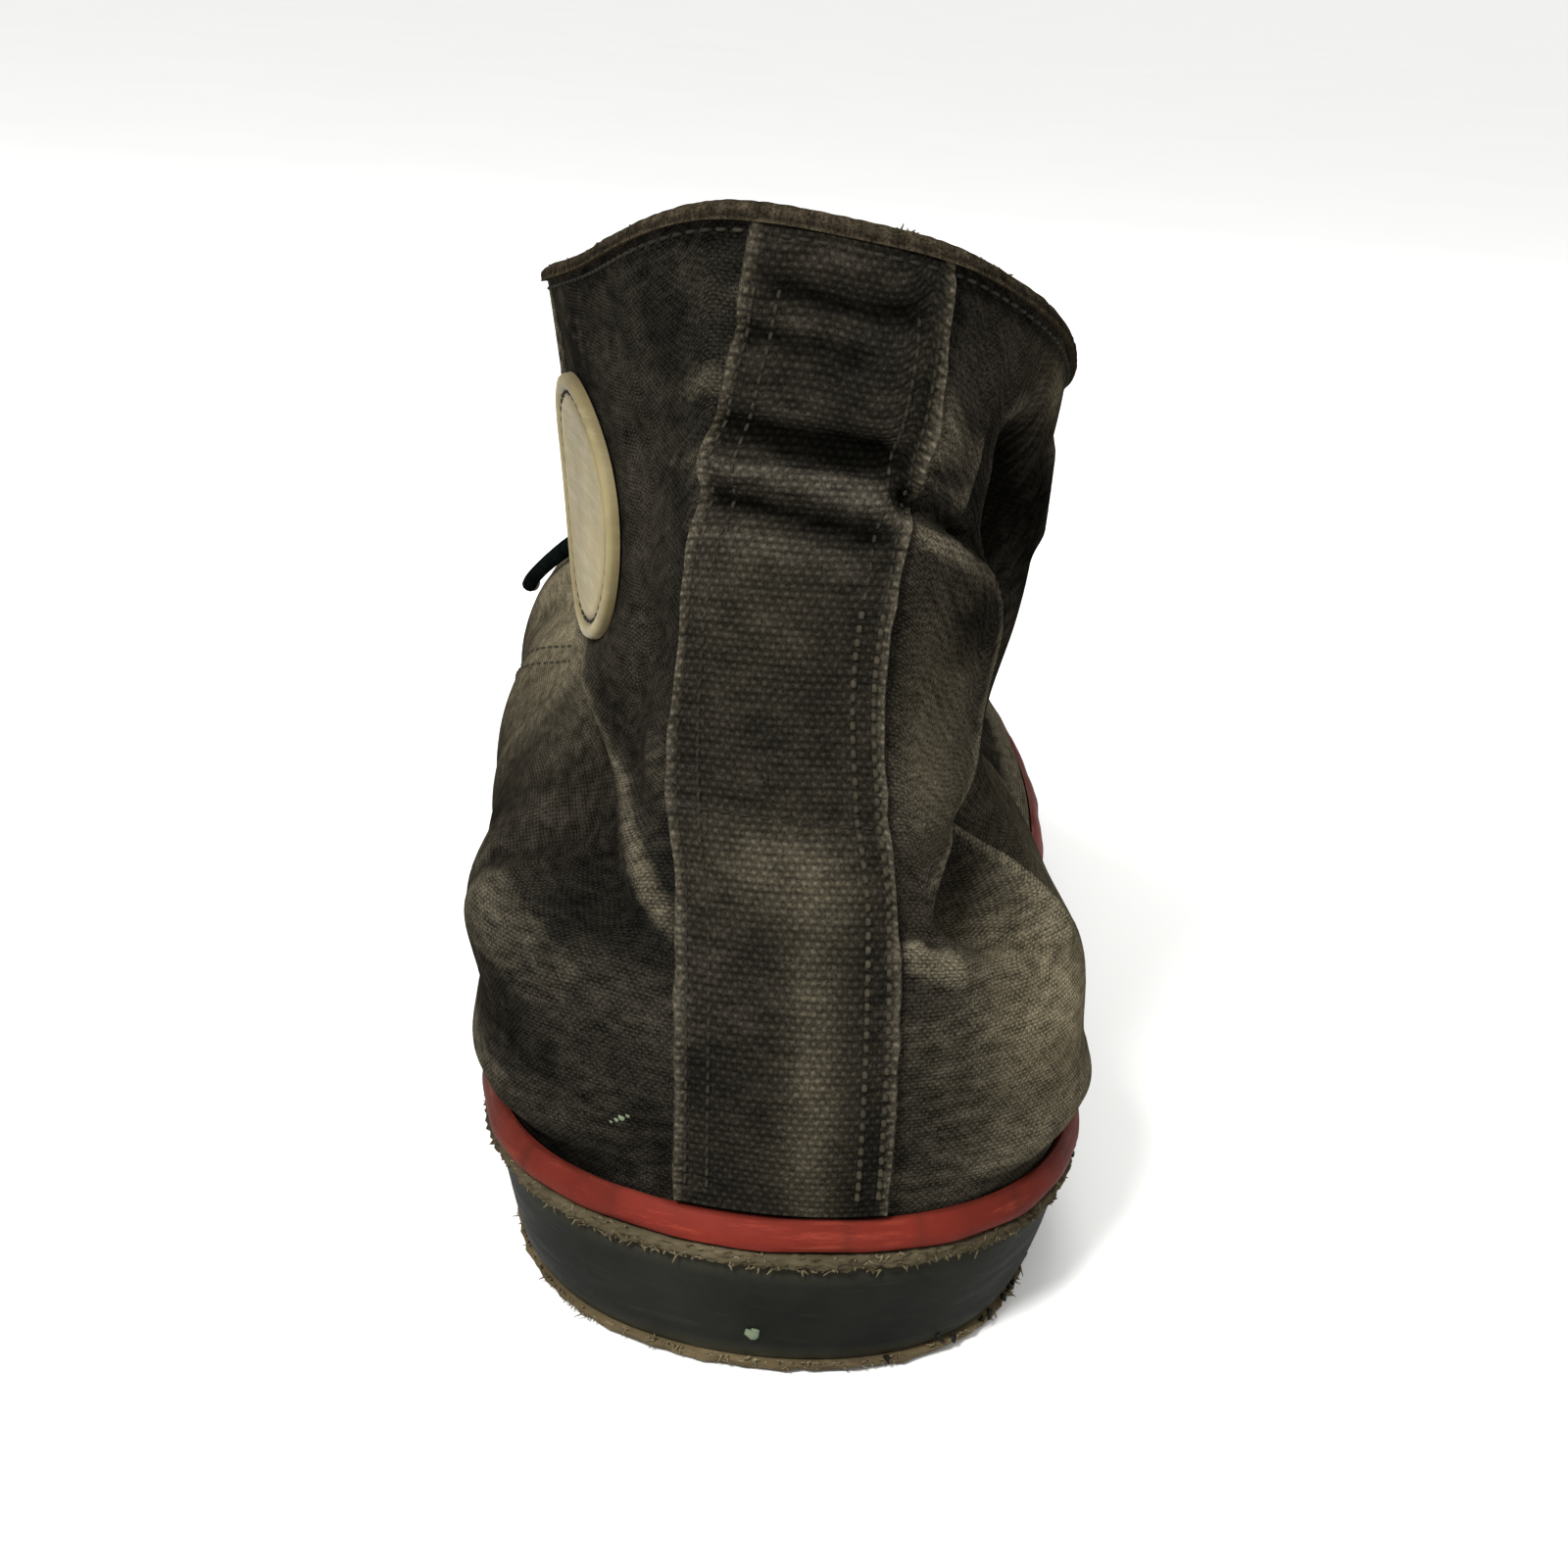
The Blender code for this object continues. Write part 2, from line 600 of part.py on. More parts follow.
def make_tongue(parent):
    """Single flap under the throat: its sides tuck under the upper, its tip stands free."""
    rows = []
    for share in np.linspace(0.86, TONGUE_FREE, 9):
        tuck = 0.17 * smoothstep(0.36, 0.60, share) + 0.02
        under = np.linspace(1.0 - tuck, 1.0, 4)
        drop = np.full(4, -WALL - 3 * GAP)
        lateral = upper_at(np.full(4, share), under, drop)
        medial = upper_at(np.full(4, -share), under, drop)[::-1]
        middle = np.linspace(0, 1, 6)[1:-1, None]
        bridge = lateral[-1] + (medial[0] - lateral[-1]) * middle
        bridge[:, 2] += TONGUE_CROWN * np.sin(middle[:, 0] * math.pi)
        rows.append(np.vstack([lateral, bridge, medial]))
    low, middle = rows[0], rows[0].mean(0)
    root = []
    for share in (1.0, 0.5):
        shrink = np.array([1.0 - TONGUE_NARROW * share, 1.0, 1.0 - 0.9 * share])
        root.append(middle + (low - middle) * shrink + np.array(TONGUE_ROOT) * share)
    rows = root + rows
    climb = rows[-1].mean(0) - rows[-3].mean(0)
    climb /= np.linalg.norm(climb)
    last, centre = rows[-1], rows[-1].mean(0)
    for reach, narrow in ((0.4, 0.93), (0.8, 0.84), (1.0, 0.70)):
        tip = centre + (last - centre) * np.array([narrow, 1.0, 1.0])
        rows.append(tip + climb * TONGUE_TIP * reach)
    outer = np.array(rows)
    along = np.gradient(outer, axis=0)
    across = np.gradient(outer, axis=1)
    normal = np.cross(across, along)
    normal /= np.linalg.norm(normal, axis=-1, keepdims=True)
    normal *= np.sign(normal[len(rows) // 2, 5, 2])
    points, faces = sheet_solid(outer, outer - normal * TONGUE_THICK, False)
    return new_object("tongue", points, faces, material("lining", 0.95), parent)


def eyelet_shares():
    """Stations of the eyelet pairs, the lowest first, evenly spaced along the throat's edge."""
    share = np.linspace(EYELET_FIRST, EYELET_LAST, 200)
    run = np.r_[0.0, np.cumsum(np.linalg.norm(np.diff(top_edge(share), axis=0), axis=1))]
    return np.interp(np.linspace(0.0, run[-1], EYELETS_A_SIDE), run, share)


def eyelet_places():
    return [(sign * share, 1.0 - EYELET_INSET) for share in eyelet_shares() for sign in (1, -1)]


def eyelet_pose(s, q):
    point = upper_at(np.array(s), np.array(q), np.array(0.0)) * MM
    normal = upper_normal(np.array(s), np.array(q))
    turn = Vector(normal).to_track_quat("Z", "Y").to_matrix().to_4x4()
    return Matrix.Translation(Vector(point)) @ turn


def make_eyelets(upper, parent):
    """Rolled metal rings, each through a hole in the upper."""
    look = material("enamel", 0.4, 0.6)
    profile = [
        (EYELET_BORE, -WALL),
        (EYELET_BARREL, -WALL),
        (EYELET_BARREL, EYELET_SEAT),
        (EYELET_RIM, EYELET_SEAT),
        (EYELET_RIM - 0.6, EYELET_SEAT + 0.5),
        (EYELET_BORE + 0.3, EYELET_SEAT + 0.6),
    ]
    turn = np.linspace(0, 2 * math.pi, 8, endpoint=False)
    ring = [[(r * math.cos(a), r * math.sin(a), z) for a in turn] for r, z in profile]
    faces = grid_faces(len(profile) + 1, len(turn), True)
    count = len(profile) * len(turn)
    faces = [tuple(i % count for i in quad) for quad in faces]
    for number, (s, q) in enumerate(eyelet_places()):
        side = "lateral" if s > 0 else "medial"
        pose = eyelet_pose(s, q)
        eyelet = new_object(f"eyelet_{side}_{number // 2 + 1}", np.vstack(ring), faces, look, parent, 30)
        eyelet.matrix_basis = pose
        cutter = new_object(f"hole_{number}", *drill(), look, parent)
        cutter.matrix_basis = pose
        cutter.hide_render = True
        cutter.display_type = "WIRE"
        cut = upper.modifiers.new(f"hole {number}", "BOOLEAN")
        cut.operation = "DIFFERENCE"
        cut.object = cutter


def drill():
    """Round cutter longer than the wall."""
    turn = np.linspace(0, 2 * math.pi, 8, endpoint=False)
    reach = WALL + 3.0
    circle = EYELET_HOLE * np.c_[np.cos(turn), np.sin(turn)]
    rings = [np.c_[circle, np.full(8, level)] for level in (-reach, reach)]
    faces = grid_faces(2, 8, True)
    faces.append(tuple(range(8))[::-1])
    faces.append(tuple(range(8, 16)))
    return np.vstack(rings), faces


def strand(start, finish):
    """Course of one strand over the throat, from a lateral to a medial eyelet: points and normals."""
    along = start + (finish - start) * np.array([0.34, 0.38, 0.62, 0.66])
    stations = along * np.array([1.0, 1.0, -1.0, -1.0])
    rises = np.array([1.0 - EYELET_INSET + LACE_OUT, 1.0, 1.0, 1.0 - EYELET_INSET + LACE_OUT])
    ends = upper_at(stations, rises, np.full(4, LACE_LIFT))
    normals = upper_normal(stations, rises)
    crown = (ends[1] + ends[2]) / 2 + np.array([0.0, 0.0, LACE_CROWN])
    up = normals[1] + normals[2]
    points = np.array([ends[0], ends[1], crown, ends[2], ends[3]])
    normals = np.array([normals[0], normals[1], up / np.linalg.norm(up), normals[2], normals[3]])
    knots = np.r_[0.0, np.cumsum(np.linalg.norm(np.diff(points, axis=0), axis=1))]
    where = np.linspace(0.0, knots[-1], 7)
    course, tilt = curve_through(knots, points, where), curve_through(knots, normals, where)
    return course, tilt / np.linalg.norm(tilt, axis=1, keepdims=True)


def strand_solid(course, normal):
    """Flat cord along a course: rounded section, closed ends."""
    along = np.gradient(course, axis=0)
    along /= np.linalg.norm(along, axis=1, keepdims=True)
    side = np.cross(along, normal)
    section = [(1.0, 0.0), (0.7, 0.8), (-0.7, 0.8), (-1.0, 0.0), (-0.7, -0.8), (0.7, -0.8)]
    rings = [course + side * (a * LACE_WIDE / 2) + normal * (b * LACE_THICK / 2) for a, b in section]
    rings = np.array(rings).transpose(1, 0, 2)
    count, sides = rings.shape[:2]
    faces = grid_faces(count, sides, True, flip=True)
    faces.append(tuple(range(sides)))
    faces.append(tuple((count - 1) * sides + i for i in range(sides))[::-1])
    return rings.reshape(-1, 3), faces


def make_lace(parent):
    """One bar over the lowest eyelets, then a crossing between each pair of rows."""
    look = material("lace", 0.9)
    shares = eyelet_shares()
    new_object("lace_bar", *strand_solid(*strand(shares[0] + LACE_BAR, shares[0] + LACE_BAR)), look, parent)
    for row in range(LACE_ROWS - 1):
        low, high = shares[row], shares[row + 1]
        cross = new_object(f"lace_cross_{row + 1}", *strand_solid(*strand(low, high)), look, parent)
        other = new_object(f"other_strand_{row + 1}", *strand_solid(*strand(high, low)), look, parent)
        other.hide_render = True
        other.display_type = "WIRE"
        join = cross.modifiers.new("join", "BOOLEAN")
        join.operation = "UNION"
        join.object = other


def make_lace_end(parent):
    """Loose end over the medial side: a round cord and its metal tip."""
    rows = np.array(LACE_END)
    points = upper_at(rows[:, 0], rows[:, 1], rows[:, 2])
    knots = np.r_[0.0, np.cumsum(np.linalg.norm(np.diff(points, axis=0), axis=1))]
    cut = knots[-1] - AGLET_LENGTH
    courses = {
        "lace_end": (np.linspace(0.0, cut - 2 * GAP, 9), LACE_END_RADIUS, material("lace", 0.9)),
        "aglet": (np.linspace(cut, knots[-1], 3), AGLET_RADIUS, material("aglet", 0.45, 0.8)),
    }
    for name, (where, radius, look) in courses.items():
        curve = bpy.data.curves.new(name, "CURVE")
        curve.dimensions = "3D"
        curve.bevel_depth = radius * MM
        curve.bevel_resolution = 2
        curve.use_fill_caps = True
        spline = curve.splines.new("POLY")
        course = curve_through(knots, points, where) * MM
        spline.points.add(len(course) - 1)
        spline.points.foreach_set("co", np.c_[course, np.ones(len(course))].ravel())
        curve.materials.append(look)
        made = bpy.data.objects.new(name, curve)
        bpy.context.scene.collection.objects.link(made)
        made.parent = parent


def clear_scene():
    for old in list(bpy.data.objects):
        bpy.data.objects.remove(old)


def centre_on_floor(root, nodes):
    """Moves the shoe so that its box stands on the origin."""
    bpy.context.view_layer.update()
    corners = np.array([node.matrix_world @ Vector(c) for node in nodes for c in node.bound_box])
    low, high = corners.min(0), corners.max(0)
    root.location = (-(low[0] + high[0]) / 2, -(low[1] + high[1]) / 2, -low[2])


def main():
    clear_scene()
    root = bpy.data.objects.new("shoe", None)
    bpy.context.scene.collection.objects.link(root)
    upper = make_upper(root)
    nodes = [make_outsole(root), make_foxing(root), make_cloth_tape(root), make_red_stripe(root)]
    nodes += [make_insole(root), make_heel_strip(root), make_collar_binding(root), upper]
    make_ankle_patch(root)
    make_tongue(root)
    make_eyelets(upper, root)
    make_lace(root)
    make_lace_end(root)
    centre_on_floor(root, nodes)


main()
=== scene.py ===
import math

import bpy
import numpy as np
from mathutils import Matrix, Vector


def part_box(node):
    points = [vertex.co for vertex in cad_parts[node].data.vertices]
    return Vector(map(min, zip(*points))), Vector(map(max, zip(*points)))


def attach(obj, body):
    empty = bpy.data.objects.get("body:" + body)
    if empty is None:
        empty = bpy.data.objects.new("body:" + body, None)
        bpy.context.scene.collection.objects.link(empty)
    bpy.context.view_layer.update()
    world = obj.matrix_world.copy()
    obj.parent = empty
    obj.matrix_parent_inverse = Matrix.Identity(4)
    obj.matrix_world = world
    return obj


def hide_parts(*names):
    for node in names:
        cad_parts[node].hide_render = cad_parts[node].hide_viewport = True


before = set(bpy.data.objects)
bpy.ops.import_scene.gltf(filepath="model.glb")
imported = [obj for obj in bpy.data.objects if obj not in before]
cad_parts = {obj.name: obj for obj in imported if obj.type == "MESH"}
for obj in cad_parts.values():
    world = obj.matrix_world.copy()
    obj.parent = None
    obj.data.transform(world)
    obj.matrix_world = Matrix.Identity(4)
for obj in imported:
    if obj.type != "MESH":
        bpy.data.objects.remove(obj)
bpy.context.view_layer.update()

print("frame loaded:", len(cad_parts), "nodes")

# Sizes are in mm: x to the lateral side, y from the heel to the toe, z up from the floor.
# On the upper, station s runs from 0 at the heel's back to +1 (lateral) or -1 (medial) at the toe,
# and rise q from 0 at the top of the red stripe to 1 at the collar and throat edge.
lastForm = {
    "length": 304.0,
    "heel": (41.2, 44.8),  # lateral and medial half-widths
    "waist": (43.0, 43.0),
    "ball": (48.0, 53.0),
    "toe": (-7.0, 7.0),
    "toeSpring": 10.0,
    "springFrom": 0.62,
    "archRise": 1.6,
    "archFrom": 0.30,
    "archTo": 0.52,
    "bed": 11.0,
    "taper": (5.5, 2.5, 4.0),  # the sole's side leans in: sides, rear, toe
    "collarCorner": 0.36,
    "archEnd": math.radians(70),
    "archPower": 0.74,
    "blend": ((0.46, 0.74), (0.36, 0.60)),  # shaft to vamp, lateral and medial
    "feather": -0.2,
    "outline": [  # along, width, lateral share, medial share
        (0.010, "heel", 0.38, 0.38),
        (0.045, "heel", 0.74, 0.74),
        (0.110, "heel", 0.96, 0.96),
        (0.200, "heel", 1.00, 1.00),
        (0.370, "waist", 1.00, 1.00),
        (0.500, "ball", 0.97, 0.88),
        (0.620, "ball", 1.00, 0.98),
        (0.760, "ball", 0.92, 1.00),
        (0.880, "ball", 0.73, 0.90),
        (0.962, "ball", 0.41, 0.63),
        (1.000, "toe", 1.00, 1.00),
    ],
    "collar": [  # station, lateral point, medial point
        (0.00, (-1.6, 12.5, 146.6), (-1.6, 12.5, 146.6)),
        (0.08, (13.0, 15.5, 143.2), (-18.1, 15.5, 147.3)),
        (0.16, (23.7, 30.0, 135.7), (-28.9, 29.0, 141.8)),
        (0.26, (30.2, 55.0, 126.0), (-37.0, 54.0, 134.8)),
        (0.36, (30.9, 86.0, 116.9), (-42.5, 79.0, 129.8)),
    ],
    "throat": [  # station, lateral point, medial point
        (0.36, (30.9, 86.0, 116.9), (-42.5, 79.0, 129.8)),
        (0.46, (22.5, 117.0, 102.5), (-27.5, 114.0, 108.0)),
        (0.60, (16.0, 157.0, 84.0), (-19.0, 157.0, 85.0)),
        (0.80, (12.0, 192.0, 69.0), (-15.0, 192.0, 69.0)),
        (0.92, (6.5, 203.0, 65.0), (-10.0, 203.0, 65.0)),
        (1.00, (-1.8, 207.0, 63.5), (-1.8, 207.0, 63.5)),
    ],
    "shaft": [  # rise, drift in plan, then mm out at the back, the lateral and the medial side
        (0.00, 0.00, 0.0, 0.0, 0.0),
        (0.14, 0.02, 2.4, 1.4, 3.4),
        (0.27, 0.14, 2.0, 0.6, 3.6),
        (0.37, 0.46, 0.6, -3.6, -2.0),
        (0.47, 0.84, 0.2, -5.2, -5.6),
        (0.62, 0.98, 0.4, -4.0, -6.4),
        (0.78, 1.00, -0.6, -2.4, -4.6),
        (0.90, 1.00, 0.2, -1.0, -1.8),
        (1.00, 1.00, 0.0, 0.0, 0.0),
    ],
    "folds": [  # station, reach, rise, breadth, tilt, depth of the slack canvas' main folds
        (0.115, 0.075, 0.375, 0.060, 0.55, -8.5),
        (0.175, 0.070, 0.190, 0.075, 0.40, 1.0),
        (-0.125, 0.080, 0.380, 0.065, -0.60, -7.5),
        (-0.170, 0.080, 0.255, 0.080, -0.40, 2.2),
        (0.010, 0.070, 0.775, 0.035, 0.20, -2.6),
        (0.500, 0.230, 0.340, 0.240, 0.00, -11.0),
        (-0.430, 0.120, 0.190, 0.170, 0.00, 6.5),
        (-0.660, 0.180, 0.220, 0.240, 0.00, 4.5),
    ],
}
stripeForm = {
    "low": 19.2, "top": 23.6, "thick": 2.2, "gap": 0.3, "columns": 420, "wave": 0.18,
    "section": [  # mm out from the outline, share of the pinch, edge, mm above it, share of the wave
        (-1.60, 0, "low", -0.10, 0.4),
        (-0.70, 1, "low", 0.25, 0.4),
        (-0.20, 1, "low", 0.80, 1.0),
        (0.00, 1, "low", 1.50, 0.0),
        (-0.05, 1, "low", 2.20, 0.0),
        (-0.35, 1, "low", 2.75, 0.5),
        (-0.45, 1, "low", 2.95, 0.5),
        (-0.75, 1, "top", -0.85, 0.5),
        (-1.20, 0, "top", -0.20, 0.6),
        (-1.70, 0, "top", 0.10, 0.6),
        (-2.20, 0, "top", 0.00, 0.0),
        (-2.20, 0, "low", 0.00, 0.0),
    ],
}
foxingForm = {"low": 1.8, "top": 16.6, "thick": 2.2, "step": 1.2, "rows": 12, "columns": 420}


def smoothStep(low, high, value):  # 0 below low, 1 above high, a soft S between
    t = np.clip((value - low) / (high - low), 0.0, 1.0)
    return t * t * (3.0 - 2.0 * t)


def unit(vectors):  # vectors brought to a length of one
    return vectors / np.maximum(np.linalg.norm(vectors, axis=-1, keepdims=True), 1e-9)


def readTable(where, knots, table):  # straight lines between a table's rows, read at where
    return np.stack([np.interp(where, knots, column) for column in table.T], -1)


def circle(sides):  # angles once round, evenly spaced
    return np.linspace(0.0, 2 * math.pi, sides, endpoint=False)


def turnedRing(side, up, angle):  # a ring of directions round each place: side cos + up sin
    return side[:, None] * np.cos(angle)[None, :, None] + up[:, None] * np.sin(angle)[None, :, None]


# Natural cubic spline: the smooth curve through points at the knots, read at where
def splineThrough(knots, points, where):
    knots = np.asarray(knots, float)
    points = np.asarray(points, float)
    points = points[:, None] if points.ndim == 1 else points
    step = np.diff(knots)
    system = np.eye(len(knots))
    right = np.zeros_like(points)
    for i in range(1, len(knots) - 1):
        system[i, i - 1 : i + 2] = step[i - 1], 2.0 * (step[i - 1] + step[i]), step[i]
        right[i] = 6.0 * ((points[i + 1] - points[i]) / step[i] - (points[i] - points[i - 1]) / step[i - 1])
    bend = np.linalg.solve(system, right)
    where = np.clip(np.asarray(where, float), knots[0], knots[-1])
    at = np.clip(np.searchsorted(knots, where, side="right") - 1, 0, len(knots) - 2)
    width = step[at][..., None]
    after = (where - knots[at])[..., None]
    before = width - after
    return (
        bend[at] * before**3 / (6 * width)
        + bend[at + 1] * after**3 / (6 * width)
        + (points[at] / width - bend[at] * width / 6) * before
        + (points[at + 1] / width - bend[at + 1] * width / 6) * after
    )


def runLength(points):  # distance travelled along a row of points
    return np.r_[0.0, np.cumsum(np.linalg.norm(np.diff(points, axis=0), axis=1))]


# Plan outline of the stripe as a closed spline, with stations by arc length from the heel's back
# to the toe on each side, and the outward normal there
def outlineTable(count=1441):
    lateral = [(0.0, 0.0)]
    medial = [(0.0, 0.0)]
    for along, width, lateralShare, medialShare in lastForm["outline"]:
        lateral.append((lateralShare * lastForm[width][0], along * lastForm["length"]))
        medial.append((-medialShare * lastForm[width][1], along * lastForm["length"]))
    loop = np.array(lateral + medial[-2::-1])
    turns = np.vstack([loop[:-1]] * 3 + [loop[:1]])
    knots = runLength(turns)
    once = len(loop) - 1
    dense = splineThrough(knots, turns, np.linspace(knots[once], knots[2 * once], 6001))
    arc = runLength(dense)
    toe = int(dense[:, 1].argmax())
    home = -(arc[-1] - arc) / (arc[-1] - arc[toe])
    signed = np.where(np.arange(len(arc)) <= toe, arc / arc[toe], home)
    order = np.argsort(signed, kind="stable")
    stations = np.linspace(-1.0, 1.0, count)
    plan = readTable(stations, signed[order], dense[order])
    run = np.gradient(plan, axis=0)
    run[0] = run[-1] = np.array([-1.0, 0.0])
    run /= np.hypot(*run.T)[:, None]
    return stations, plan, np.c_[run[:, 1], -run[:, 0]]


outlineStations, outlinePlan, outlineNormal = outlineTable()
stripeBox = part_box("red_stripe")
shoeShift = np.array([  # from the heel's own origin to the frame, in metres
    stripeBox[1].x - outlinePlan[:, 0].max() * 0.001,
    stripeBox[0].y - outlinePlan[:, 1].min() * 0.001,
    0.0,
])


def edgeNormal(s):  # outward in plan
    return unit(readTable(s, outlineStations, outlineNormal))


def edgePlan(s, offset):  # outline point moved out along its normal
    point = readTable(s, outlineStations, outlinePlan)
    return point + edgeNormal(s) * np.asarray(offset, float)[..., None]


def toeSpring(y):  # square-law lift of the sole ahead of the ball
    share = (y / lastForm["length"] - lastForm["springFrom"]) / (1.0 - lastForm["springFrom"])
    return lastForm["toeSpring"] * np.clip(share, 0.0, 1.0) ** 2


def waistArch(y):  # hollow under the waist: one S up and one S down
    low, high = lastForm["archFrom"], lastForm["archTo"]
    along, middle = y / lastForm["length"], (low + high) / 2
    return lastForm["archRise"] * (smoothStep(low, middle, along) - smoothStep(middle, high, along))


def sideOffset(s, height):  # how far the sole's side lies inside the outline, leaning in to the floor
    normal = edgeNormal(s)
    sides, rear, toe = lastForm["taper"]
    ends = np.where(normal[..., 1] < 0, rear, toe)
    taper = ends + (sides - ends) * normal[..., 0] ** 2
    lean = np.clip(1.0 - np.asarray(height, float) / stripeForm["low"], 0.0, 1.0)
    return -taper * lean - foxingForm["step"]


# Collar and throat edge: one spline round the collar's table, one round the throat's, by station
def topEdge(s):
    share = np.abs(s)
    sides = []
    for column in (1, 2):
        collar = [row[column] for row in lastForm["collar"]]
        other = [row[3 - column] for row in lastForm["collar"][:0:-1]]
        knots = [-row[0] for row in lastForm["collar"][:0:-1]] + [row[0] for row in lastForm["collar"]]
        onCollar = splineThrough(knots, other + collar, share)
        throat = [row[column] for row in lastForm["throat"]]
        beyond = [row[3 - column] for row in lastForm["throat"][-2:0:-1]]
        knots = [row[0] for row in lastForm["throat"]] + [2.0 - row[0] for row in lastForm["throat"][-2:0:-1]]
        onThroat = splineThrough(knots, throat + beyond, share)
        sides.append(np.where((share <= lastForm["collarCorner"])[..., None], onCollar, onThroat))
    return np.where((np.asarray(s) >= 0)[..., None], sides[0], sides[1])


# The last's surface: from the outline up to the collar edge, along the shaft's sections at the back
# and along a rounded arch over the vamp, plus bell-shaped folds pushed along the plan normal
def upperPoint(s, q):
    s, q = np.broadcast_arrays(np.asarray(s, float), np.asarray(q, float))
    top = topEdge(s)
    inset = stripeForm["thick"] + stripeForm["gap"]
    foot = edgePlan(s, np.full(s.shape, -inset))
    base = np.concatenate([foot, (stripeForm["top"] + toeSpring(foot[..., 1]))[..., None]], -1)
    rise = np.clip(q, 0.0, 1.0)
    rows = np.array(lastForm["shaft"])
    drift, back, lateral, medial = np.moveaxis(splineThrough(rows[:, 0], rows[:, 1:], rise), -1, 0)
    shaft = base + (top - base) * np.stack([drift, drift, rise], -1)
    outward = edgeNormal(s)
    side = np.where(s >= 0, lateral, medial)
    shaft[..., :2] += outward * (back + (side - back) * outward[..., 0] ** 2)[..., None]
    angle, end, power = rise * lastForm["archEnd"], lastForm["archEnd"], lastForm["archPower"]
    inward = (1 - np.cos(angle) ** power) / (1 - math.cos(end) ** power)
    upward = np.sin(angle) ** power / math.sin(end) ** power
    vamp = base + (top - base) * np.stack([inward, inward, upward], -1)
    share = np.abs(s)
    onLateral, onMedial = (smoothStep(*ends, share) for ends in lastForm["blend"])
    blend = np.where(s >= 0, onLateral, onMedial)
    point = shaft + (vamp - shaft) * blend[..., None]
    fold = np.zeros(s.shape)
    for station, reach, height, breadth, tilt, depth in lastForm["folds"]:
        across = (s - station) / reach
        up = (rise - height - tilt * (s - station)) / breadth
        fold += depth * np.exp(-(across**2) - up**2)
    point[..., :2] += outward * (fold * smoothStep(0.0, 0.12, rise))[..., None]
    down = np.clip(q / lastForm["feather"], 0.0, 1.0)  # below the stripe it follows the foxing's inside
    height = stripeForm["top"] + (lastForm["bed"] + stripeForm["gap"] - stripeForm["top"]) * down
    tuck = np.minimum(sideOffset(s, height) + foxingForm["step"] - inset, -inset)
    tucked = edgePlan(s, tuck - foxingForm["step"] * smoothStep(0.0, 0.5, down))
    tucked = np.concatenate([tucked, (height + toeSpring(tucked[..., 1]))[..., None]], -1)
    return np.where((q < 0)[..., None], tucked, point)


def wrapStation(s):  # past the toe, stations come back on the other side
    return (np.asarray(s, float) + 1.0) % 2.0 - 1.0


def upperNormal(s, q):  # cross product of small steps along and up the last's surface
    along = upperPoint(wrapStation(s + 0.004), q) - upperPoint(wrapStation(s - 0.004), q)
    up = upperPoint(s, np.minimum(q + 0.012, 1.0)) - upperPoint(s, np.maximum(q - 0.012, lastForm["feather"]))
    return unit(np.cross(along, up))


def rimUp(s):  # direction in which the canvas comes up to its top edge
    return unit(upperPoint(s, 1.0) - upperPoint(s, 0.97))


